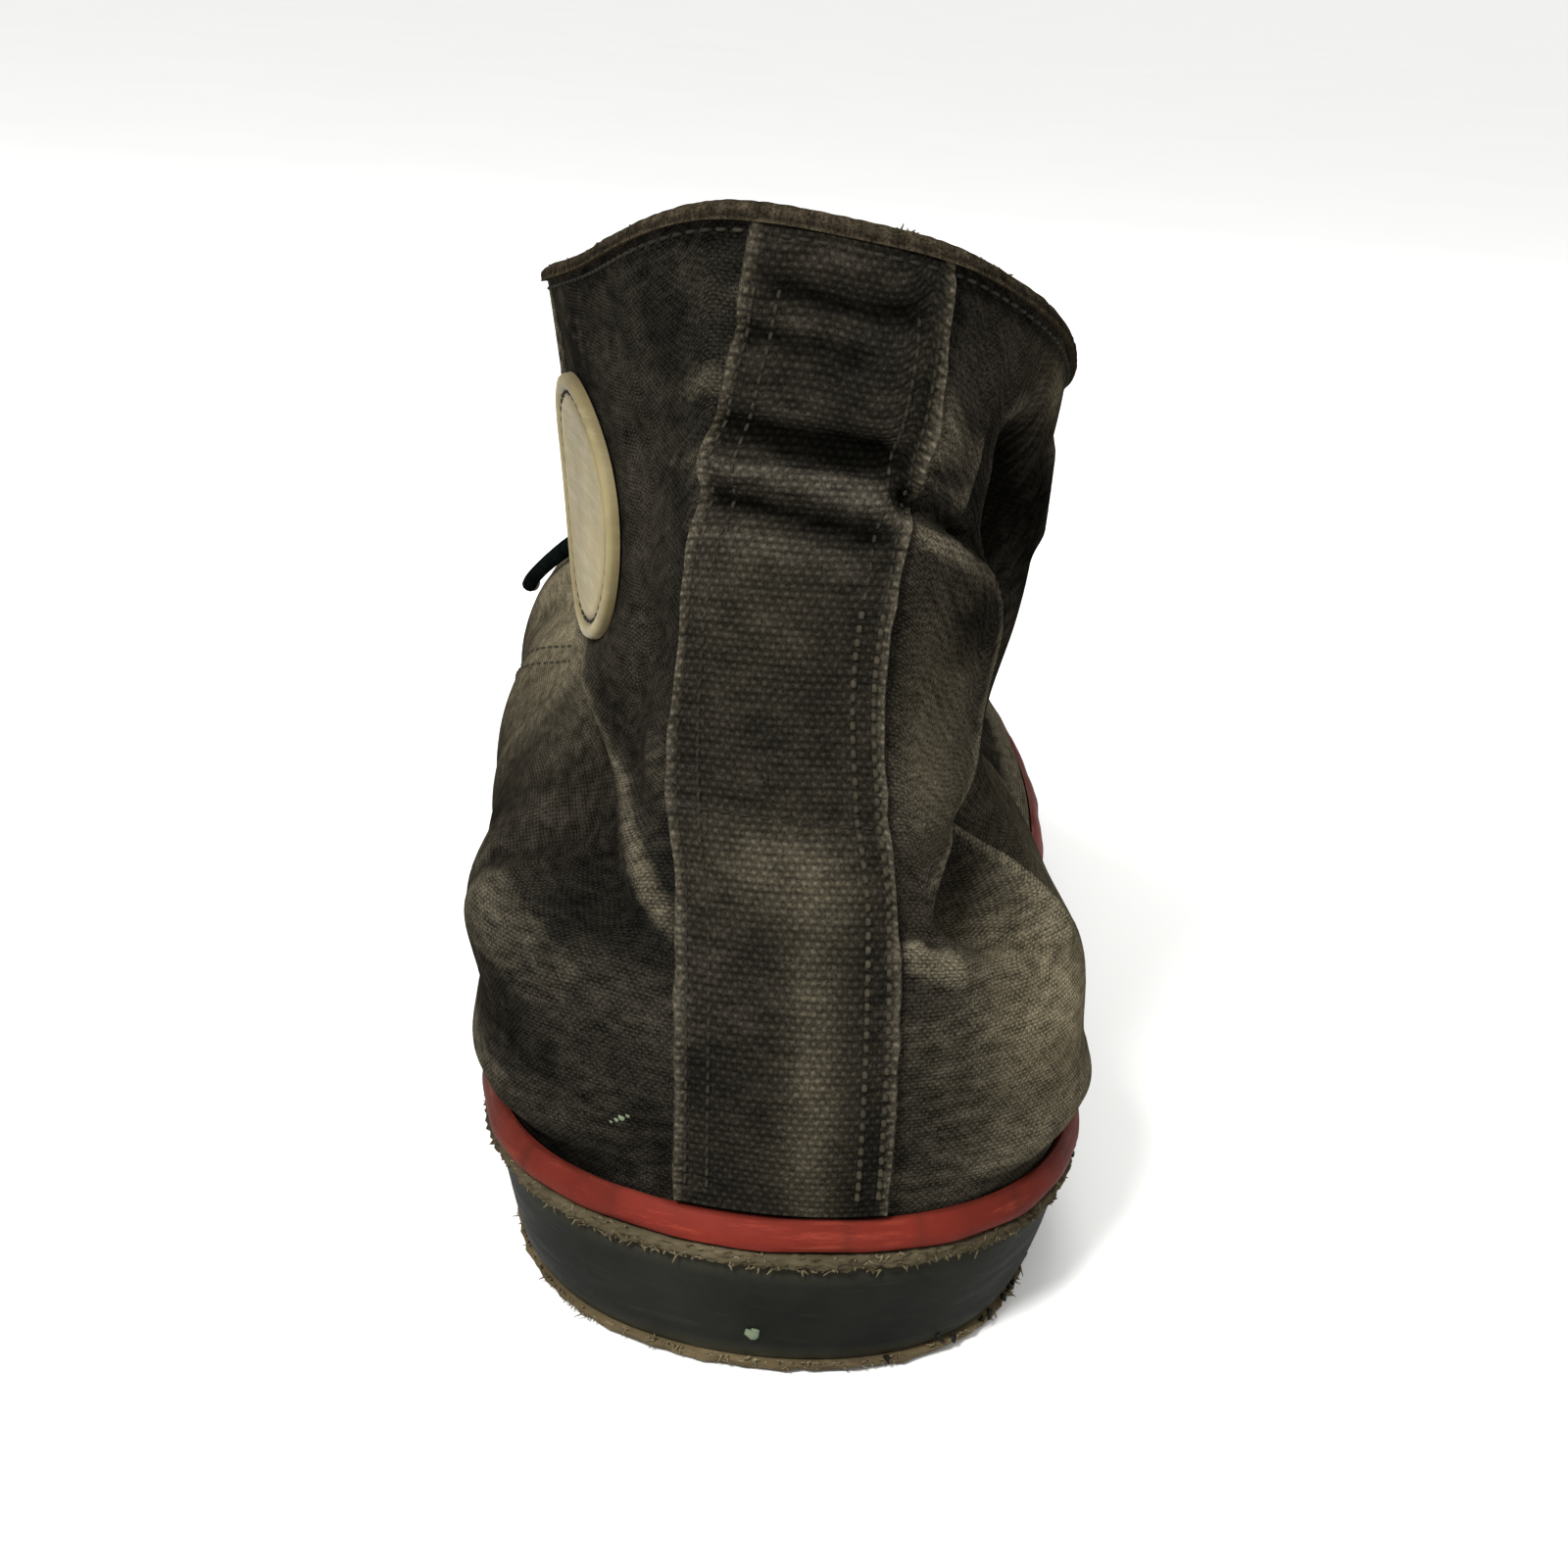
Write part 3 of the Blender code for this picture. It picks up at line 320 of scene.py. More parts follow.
# Creases of the worn canvas: height in mm (a trough is negative), half-widths in mm on the left and
# the right of the line's run, and the line's points as station and rise
creaseForm = {
    "spanStation": 300.0,  # mm round the heel for one whole station
    "spanRise": 122.0,  # mm up the shaft for one whole rise
    "patch": (-0.289, 0.705),  # the ankle patch keeps the canvas flat
    "patchSpan": 260.0,  # mm for one whole station there
    "patchFlat": (18.0, 28.0),  # mm from its middle: flat inside the first, creased outside the second
    "foot": (0.0, 0.06),  # rise over which the relief sets in
    "rows": [
        # lateral side: edge of the slack shaft, the pocket behind it and the counter's lip
        (3.4, 1.5, 9.0, [(0.042, 0.728), (0.085, 0.718), (0.124, 0.688), (0.144, 0.642), (0.146, 0.590),
                         (0.140, 0.540), (0.133, 0.490), (0.124, 0.430), (0.107, 0.382), (0.083, 0.350),
                         (0.059, 0.326), (0.043, 0.303)]),
        (-7.4, 12.0, 1.9, [(0.151, 0.690), (0.160, 0.642), (0.160, 0.590), (0.154, 0.540), (0.146, 0.486),
                           (0.136, 0.423), (0.116, 0.370), (0.090, 0.336), (0.066, 0.312), (0.054, 0.300)]),
        (2.4, 1.6, 1.8, [(0.041, 0.304), (0.042, 0.290), (0.050, 0.278), (0.066, 0.270)]),
        (1.4, 2.4, 5.5, [(0.053, 0.300), (0.075, 0.290), (0.100, 0.280), (0.122, 0.262)]),
        (2.8, 1.3, 9.0, [(0.158, 0.430), (0.162, 0.380), (0.160, 0.338), (0.154, 0.295), (0.148, 0.240)]),
        (-1.6, 7.0, 2.0, [(0.176, 0.400), (0.176, 0.350), (0.172, 0.300), (0.166, 0.260)]),
        # lateral side: puff beside the heel strip, the notch under it and the fall behind it
        (2.6, 7.5, 7.5, [(0.050, 0.822), (0.080, 0.812), (0.108, 0.790)]),
        (-4.2, 9.0, 2.2, [(0.136, 0.868), (0.147, 0.808), (0.141, 0.760), (0.132, 0.722)]),
        (-2.8, 1.7, 1.7, [(0.034, 0.752), (0.060, 0.747), (0.088, 0.735), (0.116, 0.712)]),
        (1.4, 4.0, 4.0, [(0.215, 0.900), (0.235, 0.820), (0.250, 0.740)]),
        # the counter hangs over the stripe on both sides, and the lateral vamp leans in behind it
        (3.0, 7.0, 4.5, [(-0.400, 0.050), (-0.300, 0.048), (-0.200, 0.045), (-0.110, 0.040),
                         (-0.060, 0.030)]),
        (2.6, 7.0, 4.5, [(0.060, 0.030), (0.110, 0.040), (0.170, 0.045), (0.240, 0.048), (0.330, 0.050)]),
        (-6.0, 30.0, 13.0, [(0.450, 0.100), (0.560, 0.095), (0.660, 0.090), (0.760, 0.090), (0.900, 0.090)]),
        # medial side: edge of the shaft hanging over the counter, and the hollow under it
        (2.6, 14.0, 1.6, [(-0.345, 0.535), (-0.285, 0.495), (-0.237, 0.458), (-0.200, 0.422), (-0.163, 0.388),
                         (-0.125, 0.356), (-0.095, 0.330), (-0.058, 0.290), (-0.030, 0.255)]),
        (-6.5, 2.4, 11.0, [(-0.349, 0.513), (-0.290, 0.472), (-0.243, 0.436), (-0.206, 0.400),
                           (-0.169, 0.367), (-0.132, 0.336), (-0.101, 0.309), (-0.074, 0.280),
                           (-0.048, 0.250)]),
        (1.8, 7.0, 7.0, [(-0.190, 0.272), (-0.130, 0.262), (-0.075, 0.240)]),
        (-0.8, 2.4, 3.4, [(-0.215, 0.812), (-0.150, 0.803), (-0.100, 0.797), (-0.060, 0.795)]),
        (-0.6, 2.2, 3.0, [(-0.190, 0.738), (-0.140, 0.734), (-0.085, 0.726)]),
        (-0.9, 3.0, 4.0, [(-0.230, 0.640), (-0.170, 0.600), (-0.120, 0.540), (-0.085, 0.480)]),
        # across the heel strip
        (-1.7, 2.6, 3.0, [(-0.095, 0.802), (-0.030, 0.793), (0.012, 0.790), (0.056, 0.798)]),
        (1.0, 2.6, 2.8, [(-0.085, 0.765), (-0.030, 0.757), (0.050, 0.755)]),
        (-2.1, 2.0, 3.0, [(-0.095, 0.728), (-0.040, 0.720), (0.000, 0.715), (0.050, 0.708)]),
        (-1.2, 2.0, 2.4, [(-0.056, 0.943), (-0.016, 0.932), (0.020, 0.931), (0.058, 0.939)]),
        (-0.9, 1.8, 2.2, [(-0.080, 0.893), (-0.036, 0.886), (0.020, 0.885)]),
        (-0.7, 2.0, 2.6, [(-0.062, 0.420), (0.000, 0.428), (0.048, 0.424)]),
        # flex creases of the vamp, both sides, and slack of the lateral quarter
        (-1.5, 5.0, 7.0, [(0.690, 0.180), (0.725, 0.450), (0.770, 0.760), (0.800, 0.960)]),
        (-1.1, 4.5, 6.0, [(0.770, 0.160), (0.800, 0.420), (0.845, 0.740)]),
        (-1.4, 5.0, 7.0, [(-0.690, 0.180), (-0.730, 0.450), (-0.780, 0.760), (-0.810, 0.960)]),
        (-1.1, 4.5, 6.0, [(-0.775, 0.160), (-0.805, 0.420), (-0.850, 0.740)]),
        (-1.7, 8.0, 8.0, [(0.290, 0.520), (0.380, 0.450), (0.470, 0.360), (0.560, 0.240)]),
        (1.4, 8.0, 8.0, [(0.270, 0.400), (0.350, 0.320), (0.440, 0.230)]),
        (-1.5, 7.0, 9.0, [(-0.400, 0.560), (-0.470, 0.460), (-0.550, 0.340), (-0.620, 0.220)]),
    ],
}


# Each crease is its height times a bell of the distance to the line, with its own half-width on
# each side, fading out over the line's two ends
def creaseHeight(s, q, rows):
    span = np.array([creaseForm["spanStation"], creaseForm["spanRise"]])
    place = np.stack(np.broadcast_arrays(s, q), -1) * span
    total = np.zeros(place.shape[:-1])
    for height, left, right, points in rows:
        line = np.array(points) * span
        knots = runLength(line)
        fine = splineThrough(knots, line, np.linspace(0.0, knots[-1], 25))
        margin = 2.6 * max(left, right)
        low, high = fine.min(0) - margin, fine.max(0) + margin
        near = ((place > low) & (place < high)).all(-1)
        here = place[near]
        best = np.full(len(here), 1e9)
        across = np.zeros(len(here))
        along = np.zeros(len(here))
        for i, (a, b) in enumerate(zip(fine[:-1], fine[1:])):
            run = b - a
            t = np.clip((here - a) @ run / (run @ run), 0.0, 1.0)
            gap = here - a - t[:, None] * run
            reach = np.hypot(gap[:, 0], gap[:, 1])
            closer = reach < best
            best = np.where(closer, reach, best)
            across = np.where(closer, run[0] * gap[:, 1] - run[1] * gap[:, 0], across)
            along = np.where(closer, (i + t) / (len(fine) - 1), along)
        width = np.where(across > 0, left, right)
        fade = smoothStep(-0.02, 0.22, along) * (1.0 - smoothStep(0.78, 1.02, along))
        total[near] += height * np.exp(-((best / width) ** 2)) * fade
    return total


# Slack of the cloth: a few crossed sine waves, a fraction of a millimetre high
def slackHeight(s, q):
    u, v = s * creaseForm["spanStation"], q * creaseForm["spanRise"]
    return (
        0.26 * np.sin(u / 7.3 + 1.9 * np.sin(v / 17.0))
        + 0.22 * np.sin(v / 6.1 + 1.4 * np.sin(u / 13.0) + 0.8)
        + 0.16 * np.sin((u + v) / 4.6 + 2.1 * np.sin((u - v) / 19.0))
    )


# The worn upper: the last's surface, with creases and slack along its normal, lifted by lift mm
def upperSkin(s, q, lift):
    s, q = np.broadcast_arrays(np.asarray(s, float), np.asarray(q, float))
    station, rise = creaseForm["patch"]
    away = np.hypot((s - station) * creaseForm["patchSpan"], (q - rise) * creaseForm["spanRise"])
    relief = creaseHeight(s, q, creaseForm["rows"]) + slackHeight(s, q)
    relief = relief * smoothStep(*creaseForm["foot"], q) * smoothStep(*creaseForm["patchFlat"], away)
    return upperPoint(s, q) + upperNormal(s, q) * (relief + lift)[..., None]


print("last's surface ready")


# Mesh helpers: whole arrays in, one finished piece out
def gridFaces(rows, columns, closed, start=0, flip=False):  # quads of a grid stored row by row
    r, c = np.meshgrid(np.arange(rows - 1), np.arange(columns if closed else columns - 1), indexing="ij")
    d = (c + 1) % columns
    low, high = r * columns, (r + 1) * columns
    quads = np.stack([low + c, low + d, high + d, high + c], -1).reshape(-1, 4) + start
    return quads[:, ::-1] if flip else quads


def rimFaces(rows, columns, closed):  # walls between an outer grid and an inner one of the same shape
    count, last = rows * columns, (rows - 1) * columns
    a = np.arange(columns if closed else columns - 1)
    b = (a + 1) % columns
    walls = [
        np.stack([b, a, a + count, b + count], -1),
        np.stack([last + a, last + b, last + b + count, last + a + count], -1),
    ]
    if not closed:
        left = np.arange(rows - 1) * columns
        right = left + columns - 1
        walls.append(np.stack([left, left + columns, left + columns + count, left + count], -1))
        walls.append(np.stack([right + columns, right, right + count, right + columns + count], -1))
    return np.vstack(walls)


def shellFaces(rows, columns, closed):  # outer grid, inner grid and their rims
    inner = gridFaces(rows, columns, closed, rows * columns, True)
    return np.vstack([gridFaces(rows, columns, closed), inner, rimFaces(rows, columns, closed)])


def tubeFaces(rings, sides):  # closed section carried along a path, with a fan over each end
    walls = gridFaces(rings, sides, True)
    turn = np.arange(1, sides - 1)
    first = np.stack([0 * turn, turn + 1, turn], -1)
    last = np.stack([0 * turn, turn, turn + 1], -1) + (rings - 1) * sides
    return [walls, np.vstack([first, last])]


def repeatFaces(faces, count, each):  # the same faces for every copy of a small shape of each points
    start = (np.arange(count) * each)[:, None, None]
    return [(part[None] + start).reshape(-1, part.shape[1]) for part in faces]


def gridLengths(points):  # mm along each row of a grid, and up each column
    across, up = (np.diff(points, axis=k, prepend=points.take([0], k)) for k in (1, 0))
    return np.cumsum(np.linalg.norm(across, axis=-1), axis=1), np.cumsum(np.linalg.norm(up, axis=-1), axis=0)


def gridNormal(points, closed):  # cross product of a grid's steps along its columns and up its rows
    if closed:
        along = np.roll(points, -1, 1) - np.roll(points, 1, 1)
    else:
        along = np.gradient(points, axis=1)
    return unit(np.cross(along, np.gradient(points, axis=0)))


# How far each point stands out of the mean of its neighbours: ridges come out positive, troughs
# negative, and materials read it as wear that rubs ridges pale and as painted shade that darkens troughs
def standOut(points, normal, closed, reachColumns, reachRows):
    rows = np.pad(points, ((reachRows, reachRows), (0, 0), (0, 0)), mode="edge")
    mode = "wrap" if closed else "edge"
    padded = np.pad(rows, ((0, 0), (reachColumns, reachColumns), (0, 0)), mode=mode)
    mean = np.zeros_like(points)
    for i in range(2 * reachRows + 1):
        for j in range(2 * reachColumns + 1):
            mean += padded[i : i + points.shape[0], j : j + points.shape[1]]
    mean /= (2 * reachRows + 1) * (2 * reachColumns + 1)
    return ((points - mean) * normal).sum(-1)


# Points in mm, faces as arrays of quads or triangles, uv in mm and layers of numbers per point, all in
# grids of any shape. A face that closes a ring gets its uv from the far side of the turn
def makePiece(name, points, faces, looks, slotName, replaced=(), uv=None, turn=None, layers=None,
              lookIndex=None, sharp=40.0):
    points = points.reshape(-1, 3)
    faces = faces if isinstance(faces, list) else [faces]
    used, index = np.unique(np.concatenate([f.ravel() for f in faces]), return_inverse=True)
    sizes = np.concatenate([np.full(len(f), f.shape[1]) for f in faces])
    mesh = bpy.data.meshes.new(name)
    mesh.vertices.add(len(used))
    mesh.vertices.foreach_set("co", (points[used] * 0.001 + shoeShift).ravel())
    mesh.loops.add(len(index))
    mesh.loops.foreach_set("vertex_index", index.astype(np.int32))
    mesh.polygons.add(len(sizes))
    mesh.polygons.foreach_set("loop_start", np.r_[0, np.cumsum(sizes)[:-1]].astype(np.int32))
    for look in looks:
        mesh.materials.append(look)
    if lookIndex is not None:
        mesh.polygons.foreach_set("material_index", lookIndex.astype(np.int32))
    mesh.update(calc_edges=True)
    if uv is not None:
        corners = []
        for f in faces:
            corner = uv.reshape(-1, 2)[f]
            if turn is not None:
                wide = np.ptp(corner[..., 0], axis=1) > 60.0
                corner[wide, :, 0] += np.where(corner[wide, :, 0] < 0, turn.ravel()[f[wide]], 0.0)
            corners.append(corner.reshape(-1, 2))
        layer = mesh.uv_layers.new(name="cloth")
        layer.data.foreach_set("uv", np.vstack(corners).ravel())
    for label, values in (layers or {}).items():
        mesh.attributes.new(label, "FLOAT", "POINT").data.foreach_set("value", values.ravel()[used])
    mesh.shade_smooth()
    mesh.set_sharp_from_angle(angle=math.radians(sharp))
    piece = bpy.data.objects.new(name, mesh)
    bpy.context.scene.collection.objects.link(piece)
    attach(piece, "root")
    if replaced:
        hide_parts(*replaced)
    print("made", name, len(sizes), "faces")
    return piece


# Looks. Colours are sRGB hex; patterns are scaled from real millimetres
def toLinear(hexColor):
    parts = [int(hexColor[i : i + 2], 16) / 255.0 for i in (1, 3, 5)]
    return [c / 12.92 if c <= 0.04045 else ((c + 0.055) / 1.055) ** 2.4 for c in parts] + [1.0]


# Adds one node: settings go to its sockets or its own options, links are socket: (node, output)
def addNode(tree, kind, settings=None, links=None):
    node = tree.nodes.new(kind)
    for key, value in (settings or {}).items():
        if isinstance(key, int) or key in node.inputs:
            node.inputs[key].default_value = value
        else:
            setattr(node, key, value)
    for key, (source, output) in (links or {}).items():
        tree.links.new(source.outputs[output], node.inputs[key])
    return node


def newLook(name, sockets):  # a new material, its tree and its main shader
    look = bpy.data.materials.new(name)
    look.use_nodes = True
    shader = look.node_tree.nodes["Principled BSDF"]
    for key, value in sockets.items():
        shader.inputs[key].default_value = value
    return look, look.node_tree, shader


# Plain weave on the piece's own uv: two crossed waves give each crossing a round pip, and a checker
# lowers every other one, where the thread dives under. Noise breaks it up: nap of less than half a
# millimetre, streaks along the weft and blotches of a few centimetres. The eye gets small uneven pips
# in staggered rows, drifting in tone, rubbed pale on ridges, which also reads as a painted highlight,
# and black in hollows and the patches marked for it: painted shade from the wear and painted light layer
def wovenLook(name, form):
    look, tree, shader = newLook(name, {"Roughness": 0.95, "Specular IOR Level": 0.0})
    uv = addNode(tree, "ShaderNodeUVMap", {"uv_map": "cloth"})
    wander = addNode(tree, "ShaderNodeTexNoise", {"Scale": 0.16, "Detail": 2.0}, {"Vector": (uv, "UV")})
    bent = addNode(tree, "ShaderNodeVectorMath",
                   {"operation": "MULTIPLY_ADD", 1: (form["wander"], form["wander"], 0.0)},
                   {0: (wander, "Color"), 2: (uv, "UV")})
    cells = addNode(tree, "ShaderNodeVectorMath",
                    {"operation": "MULTIPLY", 1: (1.0 / form["pitch"][0], 1.0 / form["pitch"][1], 0.0)},
                    {0: (bent, 0)})
    oneCell = math.pi / 10.0  # a wave node of this scale repeats once in each unit
    warp, weft = (
        addNode(tree, "ShaderNodeTexWave", {"bands_direction": way, "Scale": oneCell}, {"Vector": (cells, 0)})
        for way in ("X", "Y")
    )
    over = addNode(tree, "ShaderNodeTexChecker", {"Scale": 1.0}, {"Vector": (cells, 0)})
    joined = addNode(tree, "ShaderNodeMapRange", {"To Min": 0.5}, {"Value": (warp, "Fac")})
    crossing = addNode(tree, "ShaderNodeMath", {"operation": "MULTIPLY"},
                       {0: (joined, "Result"), 1: (weft, "Fac")})
    dive = addNode(tree, "ShaderNodeMapRange", {"To Min": 0.25}, {"Value": (over, "Fac")})
    thread = addNode(tree, "ShaderNodeMath", {"operation": "MULTIPLY"},
                     {0: (crossing, 0), 1: (dive, "Result")})
    place = addNode(tree, "ShaderNodeTexCoord")
    blotch, nap = (
        addNode(tree, "ShaderNodeTexNoise", {"Scale": 1000.0 / size, "Detail": detail, "Roughness": 0.68},
                {"Vector": (place, "Object")})
        for size, detail in ((form["blotch"], 6.0), (0.34, 2.0))
    )
    drawn = addNode(tree, "ShaderNodeVectorMath", {"operation": "MULTIPLY", 1: (0.26, 0.70, 0.0)},
                    {0: (uv, "UV")})
    lint = addNode(tree, "ShaderNodeTexNoise", {"Scale": 1.0, "Detail": 3.0, "Roughness": 0.5},
                   {"Vector": (drawn, 0)})
    wearAndPaintedLight = addNode(tree, "ShaderNodeAttribute", {"attribute_name": "wearAndPaintedLight"})
    dust = addNode(tree, "ShaderNodeAttribute", {"attribute_name": "dust"})

    spread = addNode(tree, "ShaderNodeMapRange", {"From Min": 0.36, "From Max": 0.66},
                     {"Value": (blotch, "Fac")})
    tone = addNode(tree, "ShaderNodeMix",
                   {"data_type": "RGBA", 6: toLinear(form["dark"]), 7: toLinear(form["mid"])},
                   {0: (spread, "Result")})
    settled = addNode(tree, "ShaderNodeMath", {"operation": "MULTIPLY"},
                      {0: (dust, "Fac"), 1: (blotch, "Fac")})
    dusty = addNode(tree, "ShaderNodeMix", {"data_type": "RGBA", 7: toLinear(form["dust"])},
                    {0: (settled, 0), 6: (tone, 2)})
    uneven = addNode(tree, "ShaderNodeMath", {"operation": "MULTIPLY_ADD", 1: 0.9},
                     {0: (lint, "Fac"), 2: (wearAndPaintedLight, "Fac")})
    rubbed = addNode(tree, "ShaderNodeMapRange", {"From Min": 0.75, "From Max": 2.5, "To Max": form["rub"]},
                     {"Value": (uneven, 0)})
    pale = addNode(tree, "ShaderNodeMix", {"data_type": "RGBA", 7: toLinear(form["faded"])},
                   {0: (rubbed, "Result"), 6: (dusty, 2)})
    # painted shade: low values of the wear and painted light layer mix in the shade tone, blackening hollows
    # and the patches where shade is painted
    deep = addNode(tree, "ShaderNodeMapRange", {"From Min": 0.25, "From Max": -1.4, "To Max": form["paintedShadeStrength"]},
                   {"Value": (uneven, 0)})
    paintedShade = addNode(tree, "ShaderNodeMix", {"data_type": "RGBA", 7: toLinear(form["paintedShadeTone"])},
                     {0: (deep, "Result"), 6: (pale, 2)})
    speckle = addNode(tree, "ShaderNodeMapRange", {"From Min": 0.22, "From Max": 0.78},
                      {"Value": (nap, "Fac")})
    tuft = addNode(tree, "ShaderNodeMath", {"operation": "MULTIPLY"},
                   {0: (speckle, "Result"), 1: (lint, "Fac")})
    pip = addNode(tree, "ShaderNodeMath", {"operation": "MULTIPLY_ADD", 1: form["weave"]},
                  {0: (thread, 0), 2: (tuft, 0)})
    light = addNode(tree, "ShaderNodeMapRange",
                    {"From Min": 0.12, "From Max": 0.44 + form["weave"],
                     "To Min": form["gap"], "To Max": form["peak"]},
                    {"Value": (pip, 0)})
    shade = addNode(tree, "ShaderNodeMix", {"data_type": "RGBA", "blend_type": "MULTIPLY", 0: 1.0},
                    {6: (paintedShade, 2), 7: (light, "Result")})
    tree.links.new(shade.outputs[2], shader.inputs["Base Color"])
    woven = addNode(tree, "ShaderNodeBump", {"Strength": 0.8, "Distance": form["bump"] * 0.001},
                    {"Height": (thread, 0)})
    napped = addNode(tree, "ShaderNodeBump", {"Strength": 0.8, "Distance": 0.00016},
                     {"Height": (nap, "Fac"), "Normal": (woven, "Normal")})
    tree.links.new(napped.outputs["Normal"], shader.inputs["Normal"])
    return look


# Cotton duck, dyed black and long faded: threads about 0.4 mm, drawn at 0.5 mm so that they show
canvasLook = wovenLook("fadedCottonDuck", {
    "dark": "#12110e", "mid": "#25221d", "faded": "#5b5546", "dust": "#776e58", "paintedShadeTone": "#040403",
    "pitch": (0.5, 0.5), "wander": 0.3, "blotch": 18.0, "rub": 0.45, "paintedShadeStrength": 0.93, "weave": 0.34, "gap": 0.25,
    "peak": 2.4, "bump": 0.06,
})
# Heavy cotton webbing, 0.63 mm across and 0.95 mm up from pip to pip: the dye has rubbed off the tops
webbingLook = wovenLook("cottonWebbing", {
    "dark": "#12110e", "mid": "#211e19", "faded": "#48433a", "dust": "#514b3d", "paintedShadeTone": "#040403",
    "pitch": (0.63, 0.95), "wander": 0.5, "blotch": 14.0, "rub": 0.5, "paintedShadeStrength": 0.92, "weave": 0.5, "gap": 0.35,
    "peak": 2.2, "bump": 0.16,
})
# Unbleached cotton drill inside, yellowed: threads drawn at 0.8 mm so that they show
liningLook = wovenLook("cottonDrillLining", {
    "dark": "#3f3727", "mid": "#5a4f38", "faded": "#70654d", "dust": "#2e281d", "paintedShadeTone": "#1c1811",
    "pitch": (0.85, 0.80), "wander": 0.3, "blotch": 30.0, "rub": 0.4, "paintedShadeStrength": 0.7, "weave": 0.16, "gap": 0.5,
    "peak": 1.6, "bump": 0.10,
})
# Twill binding tape folded over the collar, rubbed brown along its crown
bindingLook = wovenLook("twillBindingTape", {
    "dark": "#15130f", "mid": "#241f18", "faded": "#453d2f", "dust": "#353025", "paintedShadeTone": "#050504",
    "pitch": (0.60, 0.60), "wander": 0.3, "blotch": 9.0, "rub": 0.6, "paintedShadeStrength": 0.95, "weave": 0.12, "gap": 0.35,
    "peak": 1.9, "bump": 0.08,
})
# Braided cotton lace, black with a green cast
laceLook = wovenLook("braidedCottonLace", {
    "dark": "#070a09", "mid": "#0e1211", "faded": "#242926", "dust": "#24221c", "paintedShadeTone": "#030404",
    "pitch": (1.10, 1.00), "wander": 0.15, "blotch": 12.0, "rub": 0.5, "paintedShadeStrength": 0.8, "weave": 0.30,
    "gap": 0.40, "peak": 1.8, "bump": 0.20,
})


# Vulcanised rubber: a matt skin with soft cloudy tone, scuffs drawn out along the shoe, dust in fine
# specks and a shallow mould grain. The eye gets broad dull highlights broken by paler rubs
def rubberLook(name, form):
    look, tree, shader = newLook(name, {"IOR": 1.52, "Specular IOR Level": form["gloss"]})
    place = addNode(tree, "ShaderNodeTexCoord")
    cloud = addNode(tree, "ShaderNodeTexNoise", {"Scale": 1000.0 / 30.0, "Detail": 5.0, "Roughness": 0.6},
                    {"Vector": (place, "Object")})
    stretched = addNode(tree, "ShaderNodeVectorMath", {"operation": "MULTIPLY", 1: (0.35, 0.35, 3.0)},
                        {0: (place, "Object")})
    scuff = addNode(tree, "ShaderNodeTexNoise", {"Scale": 1000.0 / 5.0, "Detail": 7.0, "Roughness": 0.72},
                    {"Vector": (stretched, 0)})
    grain = addNode(tree, "ShaderNodeTexNoise", {"Scale": 1000.0 / 0.7, "Detail": 3.0, "Roughness": 0.6},
                    {"Vector": (place, "Object")})
    wearAndPaintedLight = addNode(tree, "ShaderNodeAttribute", {"attribute_name": "wearAndPaintedLight"})
    spread = addNode(tree, "ShaderNodeMapRange", {"From Min": 0.35, "From Max": 0.68},
                     {"Value": (cloud, "Fac")})
    tone = addNode(tree, "ShaderNodeMix",
                   {"data_type": "RGBA", 6: toLinear(form["dark"]), 7: toLinear(form["mid"])},
                   {0: (spread, "Result")})
    rubbed = addNode(tree, "ShaderNodeMapRange",
                     {"From Min": 0.54, "From Max": 0.74, "To Max": form["scuff"]},
                     {"Value": (scuff, "Fac")})
    scuffed = addNode(tree, "ShaderNodeMix", {"data_type": "RGBA", 7: toLinear(form["pale"])},
                      {0: (rubbed, "Result"), 6: (tone, 2)})
    # the wear and painted light layer mixes in the edge colour: worn edges on most pieces, painted shade on
    # the red stripe's sides and on the cloth tape's ring
    edge = addNode(tree, "ShaderNodeMath", {"operation": "MULTIPLY"}, {0: (wearAndPaintedLight, "Fac"), 1: (scuff, "Fac")})
    wornAndShaded = addNode(tree, "ShaderNodeMix", {"data_type": "RGBA", 7: toLinear(form["edge"])},
                   {0: (edge, 0), 6: (scuffed, 2)})
    tree.links.new(wornAndShaded.outputs[2], shader.inputs["Base Color"])
    smoothest, roughest = form["rough"]
    matt = addNode(tree, "ShaderNodeMapRange",
                   {"From Min": 0.35, "From Max": 0.70, "To Min": smoothest, "To Max": roughest},
                   {"Value": (scuff, "Fac")})
    tree.links.new(matt.outputs["Result"], shader.inputs["Roughness"])
    dented = addNode(tree, "ShaderNodeBump", {"Strength": 0.5, "Distance": form["dent"] * 0.001},
                     {"Height": (scuff, "Fac")})
    grained = addNode(tree, "ShaderNodeBump", {"Strength": 0.4, "Distance": 0.00008},
                      {"Height": (grain, "Fac"), "Normal": (dented, "Normal")})
    tree.links.new(grained.outputs["Normal"], shader.inputs["Normal"])
    return look


# Black foxing strip, calendered smooth and cured: greenish charcoal with a satin skin
foxingLook = rubberLook("curedBlackRubber", {
    "dark": "#0e0f0c", "mid": "#1b1c18", "pale": "#2c2d28", "edge": "#383529", "scuff": 0.35,
    "rough": (0.5, 0.75), "gloss": 0.04, "dent": 0.25,
})
# Red piping strip of coloured rubber: the skin has dulled and cracked finely, and its dark edge colour also
# paints shade on the stripe's sides
redLook = rubberLook("colouredPipingRubber", {
    "dark": "#40150e", "mid": "#602018", "pale": "#82392a", "edge": "#22130c", "scuff": 0.6,
    "rough": (0.5, 0.7), "gloss": 0.03, "dent": 0.18,
})
